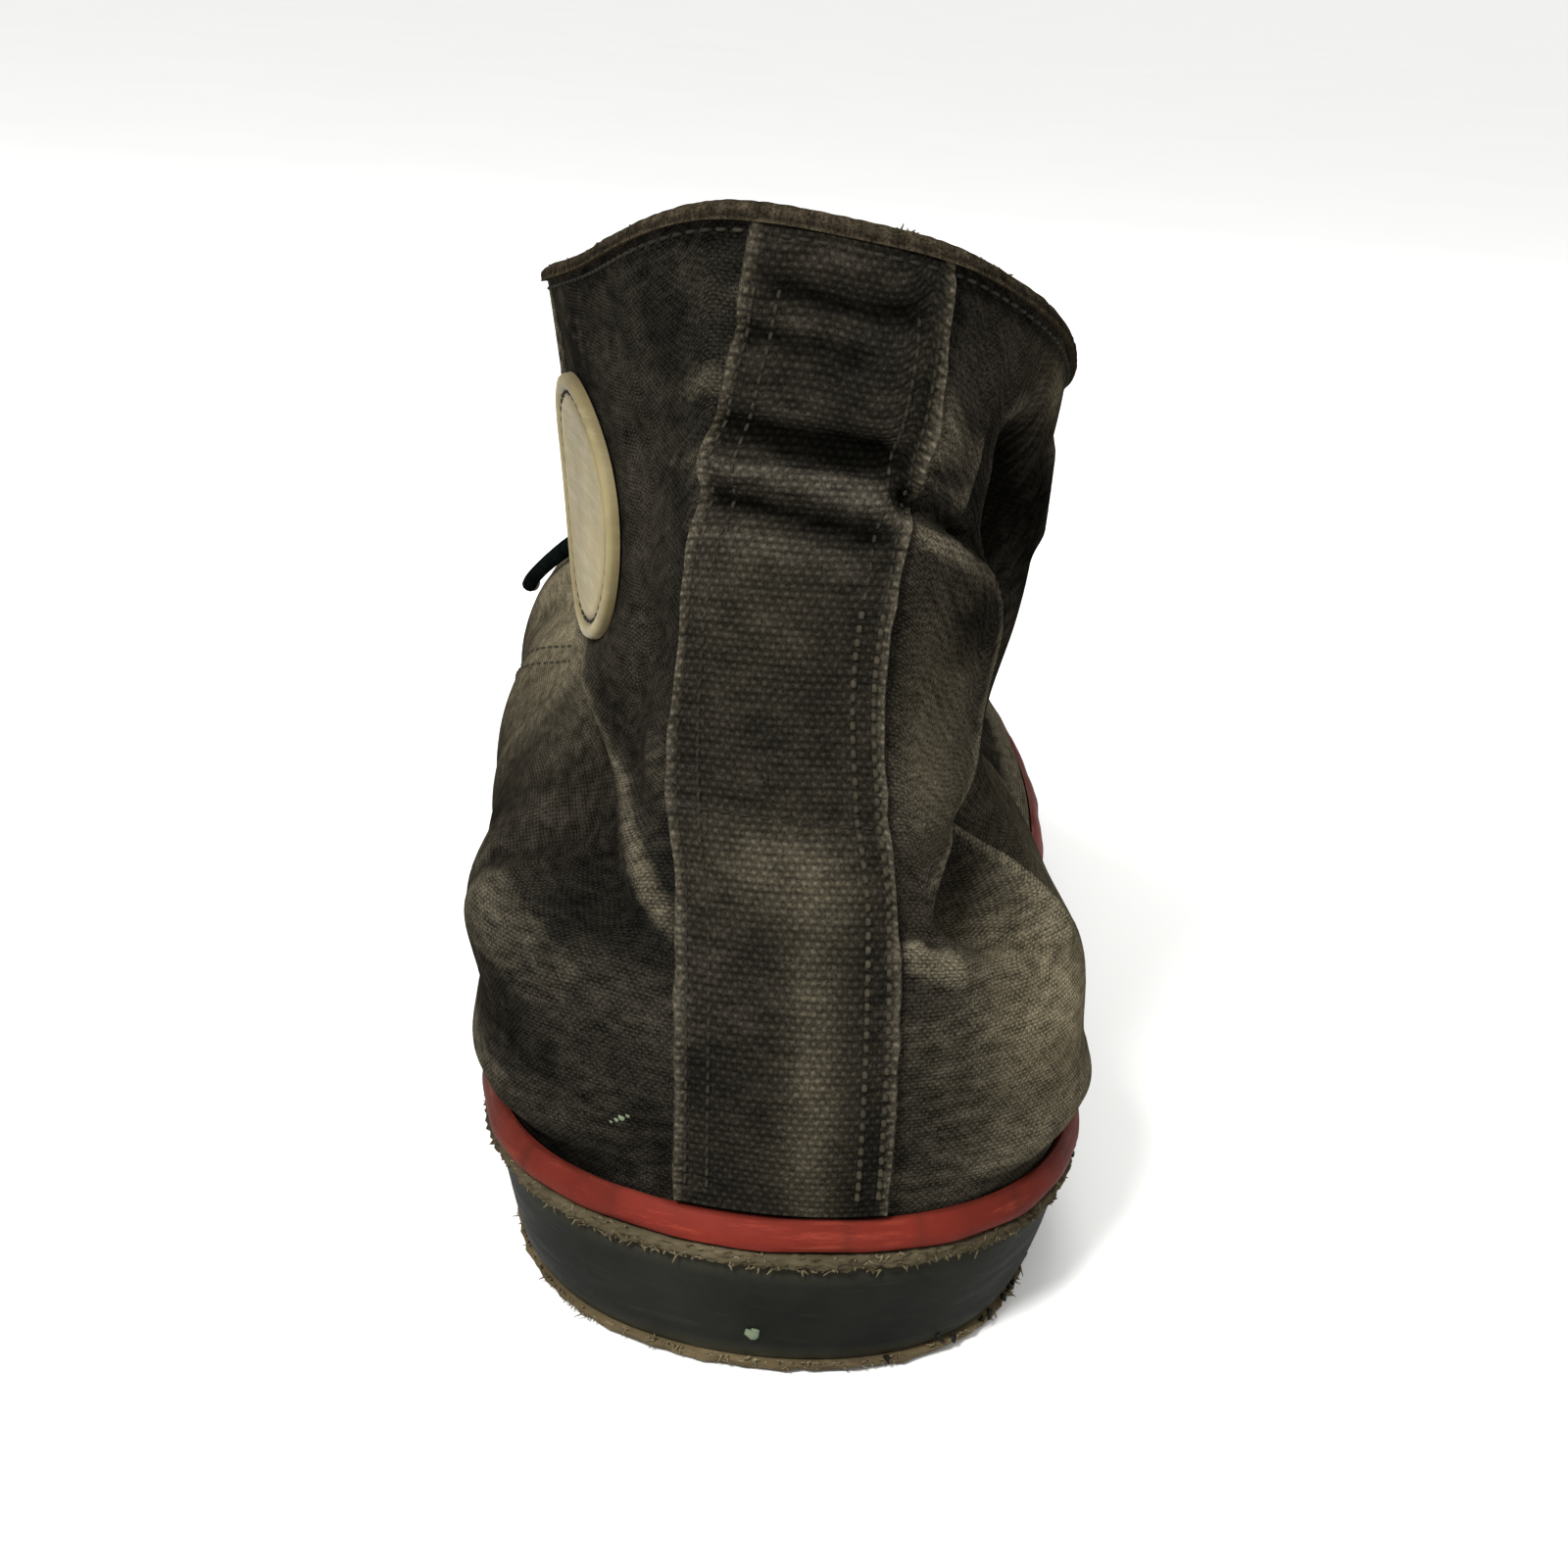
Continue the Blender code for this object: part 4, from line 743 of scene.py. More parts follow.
# Pale crepe outsole: crumbly tan rubber, matt and dusty
soleLook = rubberLook("crepeSoleRubber", {
    "dark": "#3f3626", "mid": "#594d37", "pale": "#75694d", "edge": "#7c7055", "scuff": 0.6,
    "rough": (0.8, 0.95), "gloss": 0.06, "dent": 0.5,
})
# Moulded vinyl disc of the ankle patch: cream, yellowed and grubby in its groove
patchLook = rubberLook("mouldedCreamVinyl", {
    "dark": "#544b32", "mid": "#7b7050", "pale": "#8f8462", "edge": "#3a3322", "scuff": 0.5,
    "rough": (0.45, 0.7), "gloss": 0.12, "dent": 0.12,
})
# Enamelled brass eyelets, dull black with the enamel rubbed at the rim
eyeletLook = rubberLook("enamelledBrass", {
    "dark": "#0b0a09", "mid": "#141210", "pale": "#3d3624", "edge": "#645732", "scuff": 0.7,
    "rough": (0.3, 0.55), "gloss": 0.30, "dent": 0.05,
})
# Raw yarn ends of the cut cloth tape: dusty unbleached cotton, whose dark edge colour paints shade on the
# tape's ring
frayLook = rubberLook("rawCottonYarn", {
    "dark": "#3b3425", "mid": "#6a604a", "pale": "#8d8369", "edge": "#14110c", "scuff": 0.8,
    "rough": (0.9, 1.0), "gloss": 0.03, "dent": 0.2,
})
# The binding's own yarn where it is torn: brown-black cotton
bareYarnLook = rubberLook("tornBindingYarn", {
    "dark": "#241f17", "mid": "#3c3527", "pale": "#564d3b", "edge": "#14110c", "scuff": 0.8,
    "rough": (0.9, 1.0), "gloss": 0.0, "dent": 0.2,
})
# Dried house paint: flat sage green, chalky
paintLook = rubberLook("driedWallPaint", {
    "dark": "#4d5544", "mid": "#67715a", "pale": "#7f8a70", "edge": "#3c4234", "scuff": 0.5,
    "rough": (0.7, 0.9), "gloss": 0.05, "dent": 0.1,
})
# Waxed cotton sewing thread, once black, now a little paler than the cloth
threadLook = rubberLook("waxedSewingThread", {
    "dark": "#14130f", "mid": "#24211b", "pale": "#39352a", "edge": "#5c5543", "scuff": 0.6,
    "rough": (0.75, 0.9), "gloss": 0.05, "dent": 0.1,
})


# Tinned steel aglet: rolled sheet, dull, with fine scratches along it
def tinnedLook():
    look, tree, shader = newLook("tinnedSteel", {"Metallic": 1.0})
    place = addNode(tree, "ShaderNodeTexCoord")
    scratch = addNode(tree, "ShaderNodeTexNoise", {"Scale": 1000.0 / 0.8, "Detail": 5.0},
                      {"Vector": (place, "Object")})
    tone = addNode(tree, "ShaderNodeMix",
                   {"data_type": "RGBA", 6: toLinear("#6d664e"), 7: toLinear("#a59b7a")},
                   {0: (scratch, "Fac")})
    tree.links.new(tone.outputs[2], shader.inputs["Base Color"])
    dull = addNode(tree, "ShaderNodeMapRange", {"To Min": 0.35, "To Max": 0.6}, {"Value": (scratch, "Fac")})
    tree.links.new(dull.outputs["Result"], shader.inputs["Roughness"])
    dent = addNode(tree, "ShaderNodeBump", {"Strength": 0.4, "Distance": 0.0001},
                   {"Height": (scratch, "Fac")})
    tree.links.new(dent.outputs["Normal"], shader.inputs["Normal"])
    return look


agletLook = tinnedLook()
print("looks ready")

# Camera at the photo's place, turned to the shoe alone, and soft studio light over a pale floor
cameraForm = {
    "place": (-12.4, -284.6, 180.1), "aim": (-4.8, 30.0, 72.4),  # mm
    "roll": 3.95,  # degrees
    "lens": 58.0, "sensor": 36.0,
}


def makeCamera():  # behind the heel, looking down on it
    data = bpy.data.cameras.new("camera")
    data.lens, data.sensor_width = cameraForm["lens"], cameraForm["sensor"]
    data.clip_start, data.clip_end = 0.01, 20.0
    place = Vector(np.array(cameraForm["place"]) * 0.001 + shoeShift)
    aim = Vector(np.array(cameraForm["aim"]) * 0.001 + shoeShift)
    turn = (aim - place).to_track_quat("-Z", "Y").to_matrix().to_4x4()
    roll = Matrix.Rotation(math.radians(cameraForm["roll"]), 4, "Z")
    camera = bpy.data.objects.new("camera", data)
    bpy.context.scene.collection.objects.link(camera)
    camera.matrix_world = Matrix.Translation(place) @ turn @ roll
    bpy.context.scene.camera = camera


makeCamera()
lightForm = {
    "sky": (0.62, 0.88),  # radiance at the horizon and its gain up to overhead
    "boxes": [  # name, place, aim, size in metres, watts
        ("key", (-0.38, -0.80, 0.80), (0.0, -0.12, 0.07), 0.28, 20.0),
        ("overhead", (0.05, -0.10, 1.10), (0.0, -0.10, 0.06), 0.30, 3.0),
        ("frontFill", (0.10, 0.95, 0.60), (0.0, 0.05, 0.05), 0.70, 3.0),
    ],
}


# White sky that brightens towards the zenith: radiance = horizon + gain times the ray's upward part
def makeLight():
    world = bpy.data.worlds.new("studio")
    world.use_nodes = True
    tree, low, gain = world.node_tree, *lightForm["sky"]
    ray = addNode(tree, "ShaderNodeTexCoord")
    parts = addNode(tree, "ShaderNodeSeparateXYZ", None, {0: (ray, "Generated")})
    height = addNode(tree, "ShaderNodeMapRange", {"To Min": low, "To Max": low + gain},
                     {"Value": (parts, "Z")})
    tree.nodes["Background"].inputs["Color"].default_value = toLinear("#ffffff")
    tree.links.new(height.outputs["Result"], tree.nodes["Background"].inputs["Strength"])
    bpy.context.scene.world = world
    bpy.context.scene.view_settings.view_transform = "Standard"  # so that white paper stays white
    for name, place, aim, size, watts in lightForm["boxes"]:
        data = bpy.data.lights.new(name, "AREA")
        data.shape, data.size, data.energy = "DISK", size, watts
        lamp = bpy.data.objects.new(name, data)
        bpy.context.scene.collection.objects.link(lamp)
        lamp.location = place
        lamp.rotation_euler = (Vector(aim) - Vector(place)).to_track_quat("-Z", "Y").to_euler()


makeLight()


# A flat floor, wide enough that its far edge lies above the picture
def makeFloor():
    look, tree, shader = newLook("paleStudioPaper", {"Roughness": 0.9, "Specular IOR Level": 0.05})
    place = addNode(tree, "ShaderNodeTexCoord")
    mottle = addNode(tree, "ShaderNodeTexNoise", {"Scale": 6.0, "Detail": 3.0}, {"Vector": (place, "Object")})
    tone = addNode(tree, "ShaderNodeMix",
                   {"data_type": "RGBA", 6: toLinear("#dcdcda"), 7: toLinear("#e0e0de")},
                   {0: (mottle, "Fac")})
    tree.links.new(tone.outputs[2], shader.inputs["Base Color"])
    x, y = np.meshgrid(np.linspace(-12.0, 12.0, 9), np.linspace(-6.0, 18.0, 9))
    points = np.stack([x, y, 0 * x], -1).reshape(-1, 3)
    mesh = bpy.data.meshes.new("floor")
    mesh.from_pydata(points.tolist(), [], gridFaces(*x.shape, False).tolist())
    mesh.shade_smooth()
    mesh.materials.append(look)
    floor = bpy.data.objects.new("floor", mesh)
    bpy.context.scene.collection.objects.link(floor)


makeFloor()
print("camera, light and floor ready")

eyeletForm = {
    "aSide": 7, "inset": 0.130,  # how many, and how far below the edge in rise
    "first": 0.80, "last": 0.42,  # stations of the lowest and the highest
    "hole": 3.3, "bore": 2.1, "barrel": 2.8, "rim": 4.1, "seat": 0.35, "near": 8.0,  # mm
    "sides": 20,
}


def eyeletShares():  # evenly spaced along the throat's edge, the lowest first
    share = np.linspace(eyeletForm["first"], eyeletForm["last"], 200)
    run = runLength(topEdge(share))
    return np.interp(np.linspace(0.0, run[-1], eyeletForm["aSide"]), run, share)


def eyeletFrames():  # centres on the worn upper and outward axes, lateral then medial
    share = eyeletShares()
    s = np.r_[share, -share]
    q = np.full(len(s), 1.0 - eyeletForm["inset"])
    return upperSkin(s, q, 0.0), upperNormal(s, q)


upperForm = {
    "wall": 2.0,
    "heelColumns": 130,
    "quarterColumns": 80,
    "toeColumns": 14,
    "rows": (10, 76, 17),  # below, over and above the folds
    "dust": [  # share of dust, station, reach, rise, breadth
        (0.75, 0.120, 0.040, 0.230, 0.080),
        (0.55, 0.215, 0.080, 0.200, 0.120),
        (0.45, 0.130, 0.050, 0.130, 0.100),
        (1.20, -0.540, 0.170, 0.480, 0.220),
        (0.50, 0.480, 0.160, 0.420, 0.220),
        (0.40, 0.850, 0.120, 0.300, 0.250),
        (0.40, -0.850, 0.120, 0.300, 0.250),
        (0.30, 0.085, 0.035, 0.500, 0.130),
        (0.40, 0.215, 0.040, 0.940, 0.050),
    ],
    "paintedShadeBells": [  # share of painted shade and shadow, station, reach, rise, breadth: where the cloth turns from the light, beside the folds, under the counter's lip and the binding's edge, and a neighbouring shoe's shadow on the medial quarter
        (1.80, 0.185, 0.070, 0.790, 0.130),
        (0.50, 0.280, 0.090, 0.700, 0.160),
        (0.80, 0.104, 0.030, 0.665, 0.070),
        (0.30, -0.300, 0.100, 0.280, 0.130),
        (0.60, -0.070, 0.045, 0.235, 0.070),
        (2.00, -0.090, 0.070, 0.060, 0.080),
        (0.80, -0.185, 0.060, 0.480, 0.080),
        (0.50, -0.145, 0.045, 0.350, 0.050),
        (0.30, -0.150, 0.090, 0.880, 0.070),
        (1.60, 0.000, 0.300, 0.978, 0.011),
    ],
    "most": (2.2, 2.6),  # of dust and of painted shade
    "ridge": 0.50, "trough": 0.80,  # mm of relief that rub a ridge pale, and that paint shade into a trough, by one
    "hollow": 0.05,  # painted shade for each mm of a crease's trough
    "folded": (-0.55, 2.0), "wornAndShaded": (-2.0, 2.6),  # least and most wear and painted shade from folds, and in all
    "rubsAndPaintedHighlights": [  # crests rubbed bare and lit by a painted highlight, set out as the creases are
        (1.3, 0.9, 0.9, [(0.147, 0.650), (0.148, 0.590), (0.143, 0.540), (0.136, 0.490), (0.127, 0.430),
                         (0.110, 0.380), (0.086, 0.348), (0.061, 0.323), (0.043, 0.300)]),
        (2.6, 0.7, 0.9, [(0.157, 0.440), (0.162, 0.380), (0.160, 0.338), (0.154, 0.295), (0.148, 0.230)]),
        (1.2, 1.2, 1.2, [(0.040, 0.312), (0.041, 0.295), (0.050, 0.280), (0.072, 0.268)]),
    ],
}


def upperStations():  # columns round the foot, closest at the heel
    corner = [np.linspace(0.0, 0.30, upperForm["heelColumns"] + 1)]
    corner.append(np.linspace(0.30, 0.82, upperForm["quarterColumns"] + 1)[1:])
    corner.append(np.linspace(0.82, 1.0, upperForm["toeColumns"] + 1)[1:])
    half = np.concatenate(corner)
    return np.r_[half, -half[-2:0:-1]]


def bellSum(rows, most, s, q):  # sum of bells over station and rise
    total = np.zeros(np.broadcast(s, q).shape)
    for share, station, reach, rise, breadth in rows:
        total += share * np.exp(-(((s - station) / reach) ** 2) - ((q - rise) / breadth) ** 2)
    return np.clip(total, 0.0, most)


# Outer and inner sheets a wall apart, with round holes for the eyelets: cells wholly inside a hole go,
# the points left inside are pushed out to its circle, and walls join the two sheets there
def makeUpper():
    s = upperStations()
    below, over, above = upperForm["rows"]
    q = np.r_[np.linspace(0.0, 0.2, below, endpoint=False), np.linspace(0.2, 0.8, over, endpoint=False)]
    q = np.r_[lastForm["feather"], -0.10, -0.03, q, np.linspace(0.8, 1.0, above)]
    stations, rises = np.meshgrid(s, q)
    rows, columns = stations.shape
    count = rows * columns
    outer = upperSkin(stations, rises, 0.0)
    normal = gridNormal(outer, True)
    inner = outer - normal * upperForm["wall"]
    inner[0, :, 2] = outer[0, :, 2]
    # painted shade: crease troughs, the troughs of the relief and the painted shade bells lower the layer;
    # ridges and the listed crests raise it, rubbed wear that also reads as a painted highlight
    hollow = np.minimum(creaseHeight(stations, rises, creaseForm["rows"]), 0.0)
    line = creaseHeight(stations, rises, upperForm["rubsAndPaintedHighlights"])
    paintedShadeBells = bellSum(upperForm["paintedShadeBells"], upperForm["most"][1], stations, rises)
    proud = standOut(outer, normal, True, 5, 4)
    relief = np.where(proud > 0, proud / upperForm["ridge"], proud / upperForm["trough"])
    folded = np.clip(relief + upperForm["hollow"] * hollow, *upperForm["folded"])
    wearAndPaintedLight = np.clip(folded - paintedShadeBells + line, *upperForm["wornAndShaded"])

    loop = np.concatenate([outer, outer[:, :1]], 1)
    around = np.cumsum(np.linalg.norm(np.diff(loop, axis=1), axis=-1), axis=1)
    turn = around[:, -1:] + np.zeros((1, columns))
    u = np.concatenate([np.zeros((rows, 1)), around[:, :-1]], 1)
    u = np.where(stations >= 0, u, u - turn)
    uv = np.stack([u, gridLengths(outer)[1]], -1)

    centres, axes = eyeletFrames()
    hole = np.full((rows, columns), -1)
    for i, (centre, axis) in enumerate(zip(centres, axes)):
        away = outer - centre
        flat = away - (away @ axis)[..., None] * axis
        near = np.linalg.norm(away, axis=-1) < eyeletForm["near"]
        hole[near & (np.linalg.norm(flat, axis=-1) < eyeletForm["hole"])] = i
    inside = hole >= 0
    beside = np.roll(inside, -1, 1)
    gone = inside[:-1] & beside[:-1] & inside[1:] & beside[1:]
    ringed = np.pad(gone, ((1, 1), (0, 0)))
    left = np.roll(ringed, 1, 1)
    rim = inside & ~(ringed[:-1] & ringed[1:] & left[:-1] & left[1:])
    centre, axis = centres[hole[rim]], axes[hole[rim]]
    away = outer[rim] - centre
    flat = away - (away * axis).sum(-1, keepdims=True) * axis
    reach = np.linalg.norm(flat, axis=-1, keepdims=True)
    push = flat * (eyeletForm["hole"] / reach - 1.0)
    outer[rim] += push
    inner[rim] += push

    kept = ~gone.ravel()
    quads = gridFaces(rows, columns, True)
    outerFaces, innerFaces = quads[kept], quads[kept][:, ::-1] + count
    edges = np.vstack([outerFaces[:, [k, (k + 1) % 4]] for k in range(4)])
    key = edges[:, 0] * count + edges[:, 1]
    bare = edges[~np.isin(key, edges[:, 1] * count + edges[:, 0])]
    walls = np.stack([bare[:, 1], bare[:, 0], bare[:, 0] + count, bare[:, 1] + count], -1)
    faces = np.vstack([outerFaces, innerFaces, walls])
    lookIndex = np.r_[np.zeros(len(outerFaces)), np.ones(len(innerFaces)), np.zeros(len(walls))]
    dust = bellSum(upperForm["dust"], upperForm["most"][0], stations, rises)
    # the lining takes the layer turned over, so painted shade falls inside the outer ridges
    layers = {"wearAndPaintedLight": np.stack([wearAndPaintedLight, -wearAndPaintedLight]), "dust": np.stack([dust, dust * 0.5])}
    makePiece("canvasUpper", np.stack([outer, inner]), faces, [canvasLook, liningLook], "canvas", ["upper"],
              uv=np.stack([uv, uv]), turn=np.stack([turn, turn]), layers=layers, lookIndex=lookIndex,
              sharp=60.0)


makeUpper()

stripForm = {
    "thick": 1.2, "gap": 0.25, "from": 0.010, "to": 0.996, "rows": 230, "columns": 48,
    "selvedge": 1.8, "loop": 1.6,  # mm of woven edge, and from loop to loop along it
    # rise, mm to the lateral side
    "lean": [(0.0, -2.2), (0.37, -4.0), (0.63, -5.0), (0.75, -2.6), (0.95, 0.6), (1.0, 1.0)],
    "width": [(0.0, 27.8), (0.37, 28.5), (0.63, 27.6), (0.78, 27.2), (1.0, 25.6)],  # rise, mm
    "stitchRow": 0.415,  # rise of the row sewn across
    "ridge": (0.18, 0.6, 0.5),  # the woven edge: mm proud, mm in from the cut, mm wide
    "tuck": (0.8, 0.970, 0.992),  # mm that the top end sinks under the binding, and between which rises
    "rub": 0.40,  # mm of relief that rub a ridge pale, and that paint shade into a trough, by one
    "streaks": [  # share of dust, mm across, reach, rise, breadth
        (0.20, -2.0, 7.0, 0.60, 0.09),
        (0.55, 1.0, 9.0, 0.37, 0.05),
    ],
    "lowStreak": (0.60, 3.5, 3.2, 0.30, 0.42),  # share of dust, mm across, reach, fading between two rises
}


def stripStation(across, q):  # station of a point on the strip, across in mm from its middle line
    step = 0.01
    stretch = np.linalg.norm(upperPoint(step + 0 * q, q) - upperPoint(-step + 0 * q, q), axis=-1) / (2 * step)
    lean = splineThrough(*zip(*stripForm["lean"]), q)[..., 0]
    return (across + lean) / stretch


def stripWidth(q):  # in mm, a smooth curve through its table
    return splineThrough(*zip(*stripForm["width"]), q)[..., 0]


# Webbing laid on the worn upper: its width narrows upwards, its two woven edges stand a little proud
# and wander, and its ends turn under
def makeHeelStrip():
    q = np.linspace(stripForm["from"], stripForm["to"], stripForm["rows"])
    share = np.linspace(-0.5, 0.5, stripForm["columns"])
    rises, shares = np.meshgrid(q, share, indexing="ij")
    wander = 0.10 * np.sin(rises * 71.0 + 2.0 * np.sin(rises * 29.0))
    across = shares * stripWidth(rises) + wander * np.abs(shares) * 2
    stations = stripStation(across, rises)
    fromEdge = (0.5 - np.abs(shares)) * stripWidth(rises)
    high, middle, wide = stripForm["ridge"]
    edge = high * np.exp(-(((fromEdge - middle) / wide) ** 2))
    rounded = np.sqrt(np.clip(fromEdge / wide, 0.05, 1.0))
    lift = stripForm["gap"] + stripForm["thick"] * rounded + edge
    lift += 0.10 * np.sin(across / 3.1 + 2.0 * np.sin(rises * 23.0)) * np.sin(rises * 37.0)
    sink, *ends = stripForm["tuck"]
    lift -= sink * smoothStep(*ends, rises)
    outer = upperSkin(stations, rises, lift)
    inner = upperSkin(stations, rises, 0.05 + 0 * lift)
    normal = gridNormal(outer, False)
    # painted shade: the strip darkens towards its top and near its foot
    dark = 0.55 * smoothStep(0.70, 0.84, rises) + 0.3 * (1.0 - smoothStep(0.02, 0.12, rises))
    wearAndPaintedLight = np.clip(standOut(outer, normal, False, 4, 6) / stripForm["rub"] - dark, -2.0, 2.0)
    along = gridLengths(outer)[1]
    uv = np.stack([across, along], -1)
    most, middle, reach, *fade = stripForm["lowStreak"]
    streak = most * np.exp(-(((across - middle) / reach) ** 2)) * (1.0 - smoothStep(*fade, rises))
    streak += bellSum(stripForm["streaks"], 1.0, across, rises)
    loops = 0.45 + 0.45 * np.sin(along * (2 * math.pi / stripForm["loop"]) + 1.5 * np.sin(along / 6.0))
    selvedge = loops * (1.0 - smoothStep(0.8 * stripForm["selvedge"], stripForm["selvedge"], fromEdge))
    dust = np.clip(0.9 * selvedge + streak, 0.0, 1.4)
    layers = {"wearAndPaintedLight": np.stack([wearAndPaintedLight, wearAndPaintedLight]), "dust": np.stack([dust, dust])}
    makePiece("heelStrip", np.stack([outer, inner]), shellFaces(*rises.shape, False), [webbingLook],
              "webbing", ["heel_strip"], uv=np.stack([uv, uv]), layers=layers, sharp=70.0)


makeHeelStrip()

bindingForm = {
    "from": 0.9925, "inside": 0.957, "end": 0.357,  # lowest rise outside and inside, and last station
    "crown": 0.55, "thick": 0.9, "gap": 0.15, "rough": 0.05, "columns": 420,
}


# Folded tape: a channel section, up the outside, over the rim in a half circle and down the inside,
# carried round the collar
def makeBinding():
    s = np.linspace(-bindingForm["end"], bindingForm["end"], bindingForm["columns"])
    wall, near, far = upperForm["wall"], bindingForm["gap"], bindingForm["gap"] + bindingForm["thick"]
    up = rimUp(s)
    middle, radius = -wall / 2, wall / 2 + far
    rough = np.sin(s * 57.0) + np.sin(s * 131.0 + 3.0 * np.sin(s * 17.0)) + np.sin(s * 410.0)
    rough *= bindingForm["rough"]
    section = [(q, far, 0.0) for q in np.linspace(bindingForm["from"], 1.0, 5)]
    bend = np.linspace(0.0, math.pi, 9)[1:-1]
    crown = radius * bindingForm["crown"]
    section += [(1.0, middle + radius * math.cos(a), crown * math.sin(a)) for a in bend]
    section += [(q, -wall - far, 0.0) for q in np.linspace(1.0, bindingForm["inside"], 5)]
    section += [(bindingForm["inside"], -wall - near, 0.0), (1.0, -wall - near, near)]
    section += [(1.0, near, near), (bindingForm["from"], near, 0.0)]
    rings = []
    for i, (q, lift, rise) in enumerate(section):
        puff = rough * (1.0 if 1 <= i <= 14 else 0.0)
        side = 1.0 if lift > middle else -1.0
        rings.append(upperSkin(s, q, lift + side * puff) + up * (rise + np.abs(puff))[:, None])
    grid = np.array(rings).transpose(1, 0, 2)[:, ::-1]
    normal = gridNormal(grid, True)
    # ridges of the tape rubbed pale, with a little rub all over, and troughs darkened with painted shade
    wearAndPaintedLight = np.clip(standOut(grid, normal, True, 2, 3) / 0.35 + 0.25, -1.0, 2.0)
    girth = np.linspace(0.0, 2.0 * (wall + far + 8.0), len(section))
    uv = np.stack(np.meshgrid(girth, runLength(grid[:, 8])), -1)
    makePiece("collarBinding", grid, tubeFaces(*grid.shape[:2]), [bindingLook], "lining", ["collar_binding"],
              uv=uv, layers={"wearAndPaintedLight": wearAndPaintedLight}, sharp=70.0)


makeBinding()


# A section of (offset from the outline, height) pairs carried round the sole as a closed ring
def soleRing(s, section):
    rings = []
    for offset, height in section:
        plan = edgePlan(s, offset + 0 * s)
        rings.append(np.c_[plan, height + toeSpring(plan[:, 1])])
    return np.array(rings)


def ringFaces(rows, columns):  # grid closed round its columns and back from its last row to its first
    quads = gridFaces(rows + 1, columns, True)
    return quads % (rows * columns)


def ringStations(count):  # once round from the heel's back, home by the medial side
    turn = np.linspace(0.0, 2.0, count, endpoint=False)
    return turn - 2.0 * (turn > 1.0)


# Piping: a half-round bead with a rubbed flat on top, wavering a little in height and width
def makeRedStripe():
    s = ringStations(stripeForm["columns"])
    wave = stripeForm["wave"] * (np.sin(s * 61.0) + np.sin(s * 97.0 + 1.3) + 0.6 * np.sin(s * 173.0))
    pinch = 0.5 * wave[::-1]
    section = [
        (out + share * pinch, stripeForm[edge] + up + part * wave)
        for out, share, edge, up, part in stripeForm["section"]
    ]
    grid = soleRing(s, section)
    crack = (np.sin(s * 410.0) + np.sin(s * 263.0 + 2.0) > 1.55) * 1.0
    wearAndPaintedLight = np.zeros(grid.shape[:2])
    share = np.abs(s)
    # cracks darken the face where they run; painted shade darkens it towards the heel's sides, easing off
    # past the quarters
    wearAndPaintedLight[1:10] = 0.55 * crack + 0.85 * smoothStep(0.06, 0.18, share) - 0.5 * smoothStep(0.3, 0.5, share)
    # both tucked edges are darker
    wearAndPaintedLight[0], wearAndPaintedLight[9] = 1.2, 0.9
    makePiece("redStripe", grid, ringFaces(*grid.shape[:2]), [redLook], "red_rubber", ["red_stripe"],
              layers={"wearAndPaintedLight": wearAndPaintedLight})


# Foxing: a tall strip that leans in to the floor, with soft top and bottom edges and shallow swells
def makeFoxing():
    s = ringStations(foxingForm["columns"])
    low, top = foxingForm["low"], foxingForm["top"]
    share = np.linspace(0.0, 1.0, foxingForm["rows"])
    soften = 0.7 * (np.exp(-share / 0.05) + np.exp(-(1.0 - share) / 0.05))
    swell = 0.22 * np.sin(s * 43.0) + 0.16 * np.sin(s * 88.0 + 1.1)
    ragged = 0.25 * np.sin(s * 151.0) + 0.18 * np.sin(s * 233.0 + 0.7)  # the cut top edge
    section = []
    for t, cut in zip(share, soften):
        height = low + (top - low) * t
        bulge = (0.35 + swell) * math.sin(t * math.pi)
        section.append((sideOffset(s, height) - cut + bulge, height + ragged * (t > 0.99)))
    section.append((sideOffset(s, top) - foxingForm["thick"], top))
    section.append((sideOffset(s, low) - foxingForm["thick"], low))
    grid = soleRing(s, section)
    wearAndPaintedLight = np.zeros(grid.shape[:2])
    wearAndPaintedLight[0], wearAndPaintedLight[1], wearAndPaintedLight[-4], wearAndPaintedLight[-3] = 1.2, 0.5, 0.35, 0.9
    makePiece("foxingStrip", grid, ringFaces(*grid.shape[:2]), [foxingLook], "black_rubber", ["foxing"],
              layers={"wearAndPaintedLight": wearAndPaintedLight})


makeRedStripe()
makeFoxing()

# Loose yarn: heights and out say where it is rooted, in mm up and out from the side, and rise its lean
tapeForm = {
    "low": 16.9, "top": 18.9, "thick": 2.4, "step": 0.5, "rows": 7, "columns": 900, "shag": 0.28,
    "threads": 2400, "length": (0.35, 0.9), "radius": 0.30, "seed": 5,
    "heights": (16.6, 18.9), "out": 0.4, "rise": -0.35,
}
soleFrayForm = {
    "threads": 1300, "length": (0.3, 1.1), "radius": 0.24, "seed": 9,
    "heights": (1.1, 1.9), "out": 0.1, "rise": -0.1,
}
tornForm = {
    "threads": 11, "length": (0.8, 1.7), "radius": 0.55, "seed": 21, "around": (0.105, 0.035),
    "heights": (1.6, 3.4), "out": 0.1, "rise": -0.5,
}


# Yarn ends: each is a three-sided strand along root + run t + bend t squared, thinning to its tip
def yarnEnds(roots, runs, bends, radius):
    t = np.linspace(0.0, 1.0, 4)[None, :, None]
    line = roots[:, None] + runs[:, None] * t + bends[:, None] * t**2
    side = unit(np.cross(runs, bends + np.array([0.0, 0.0, 1e-3])))
    ring = turnedRing(side, unit(np.cross(side, runs)), -circle(3))
    points = line[:, :, None] + ring[:, None] * (radius * (1.0 - 0.75 * t))[..., None]
    return points, repeatFaces(tubeFaces(4, 3), len(roots), 12)


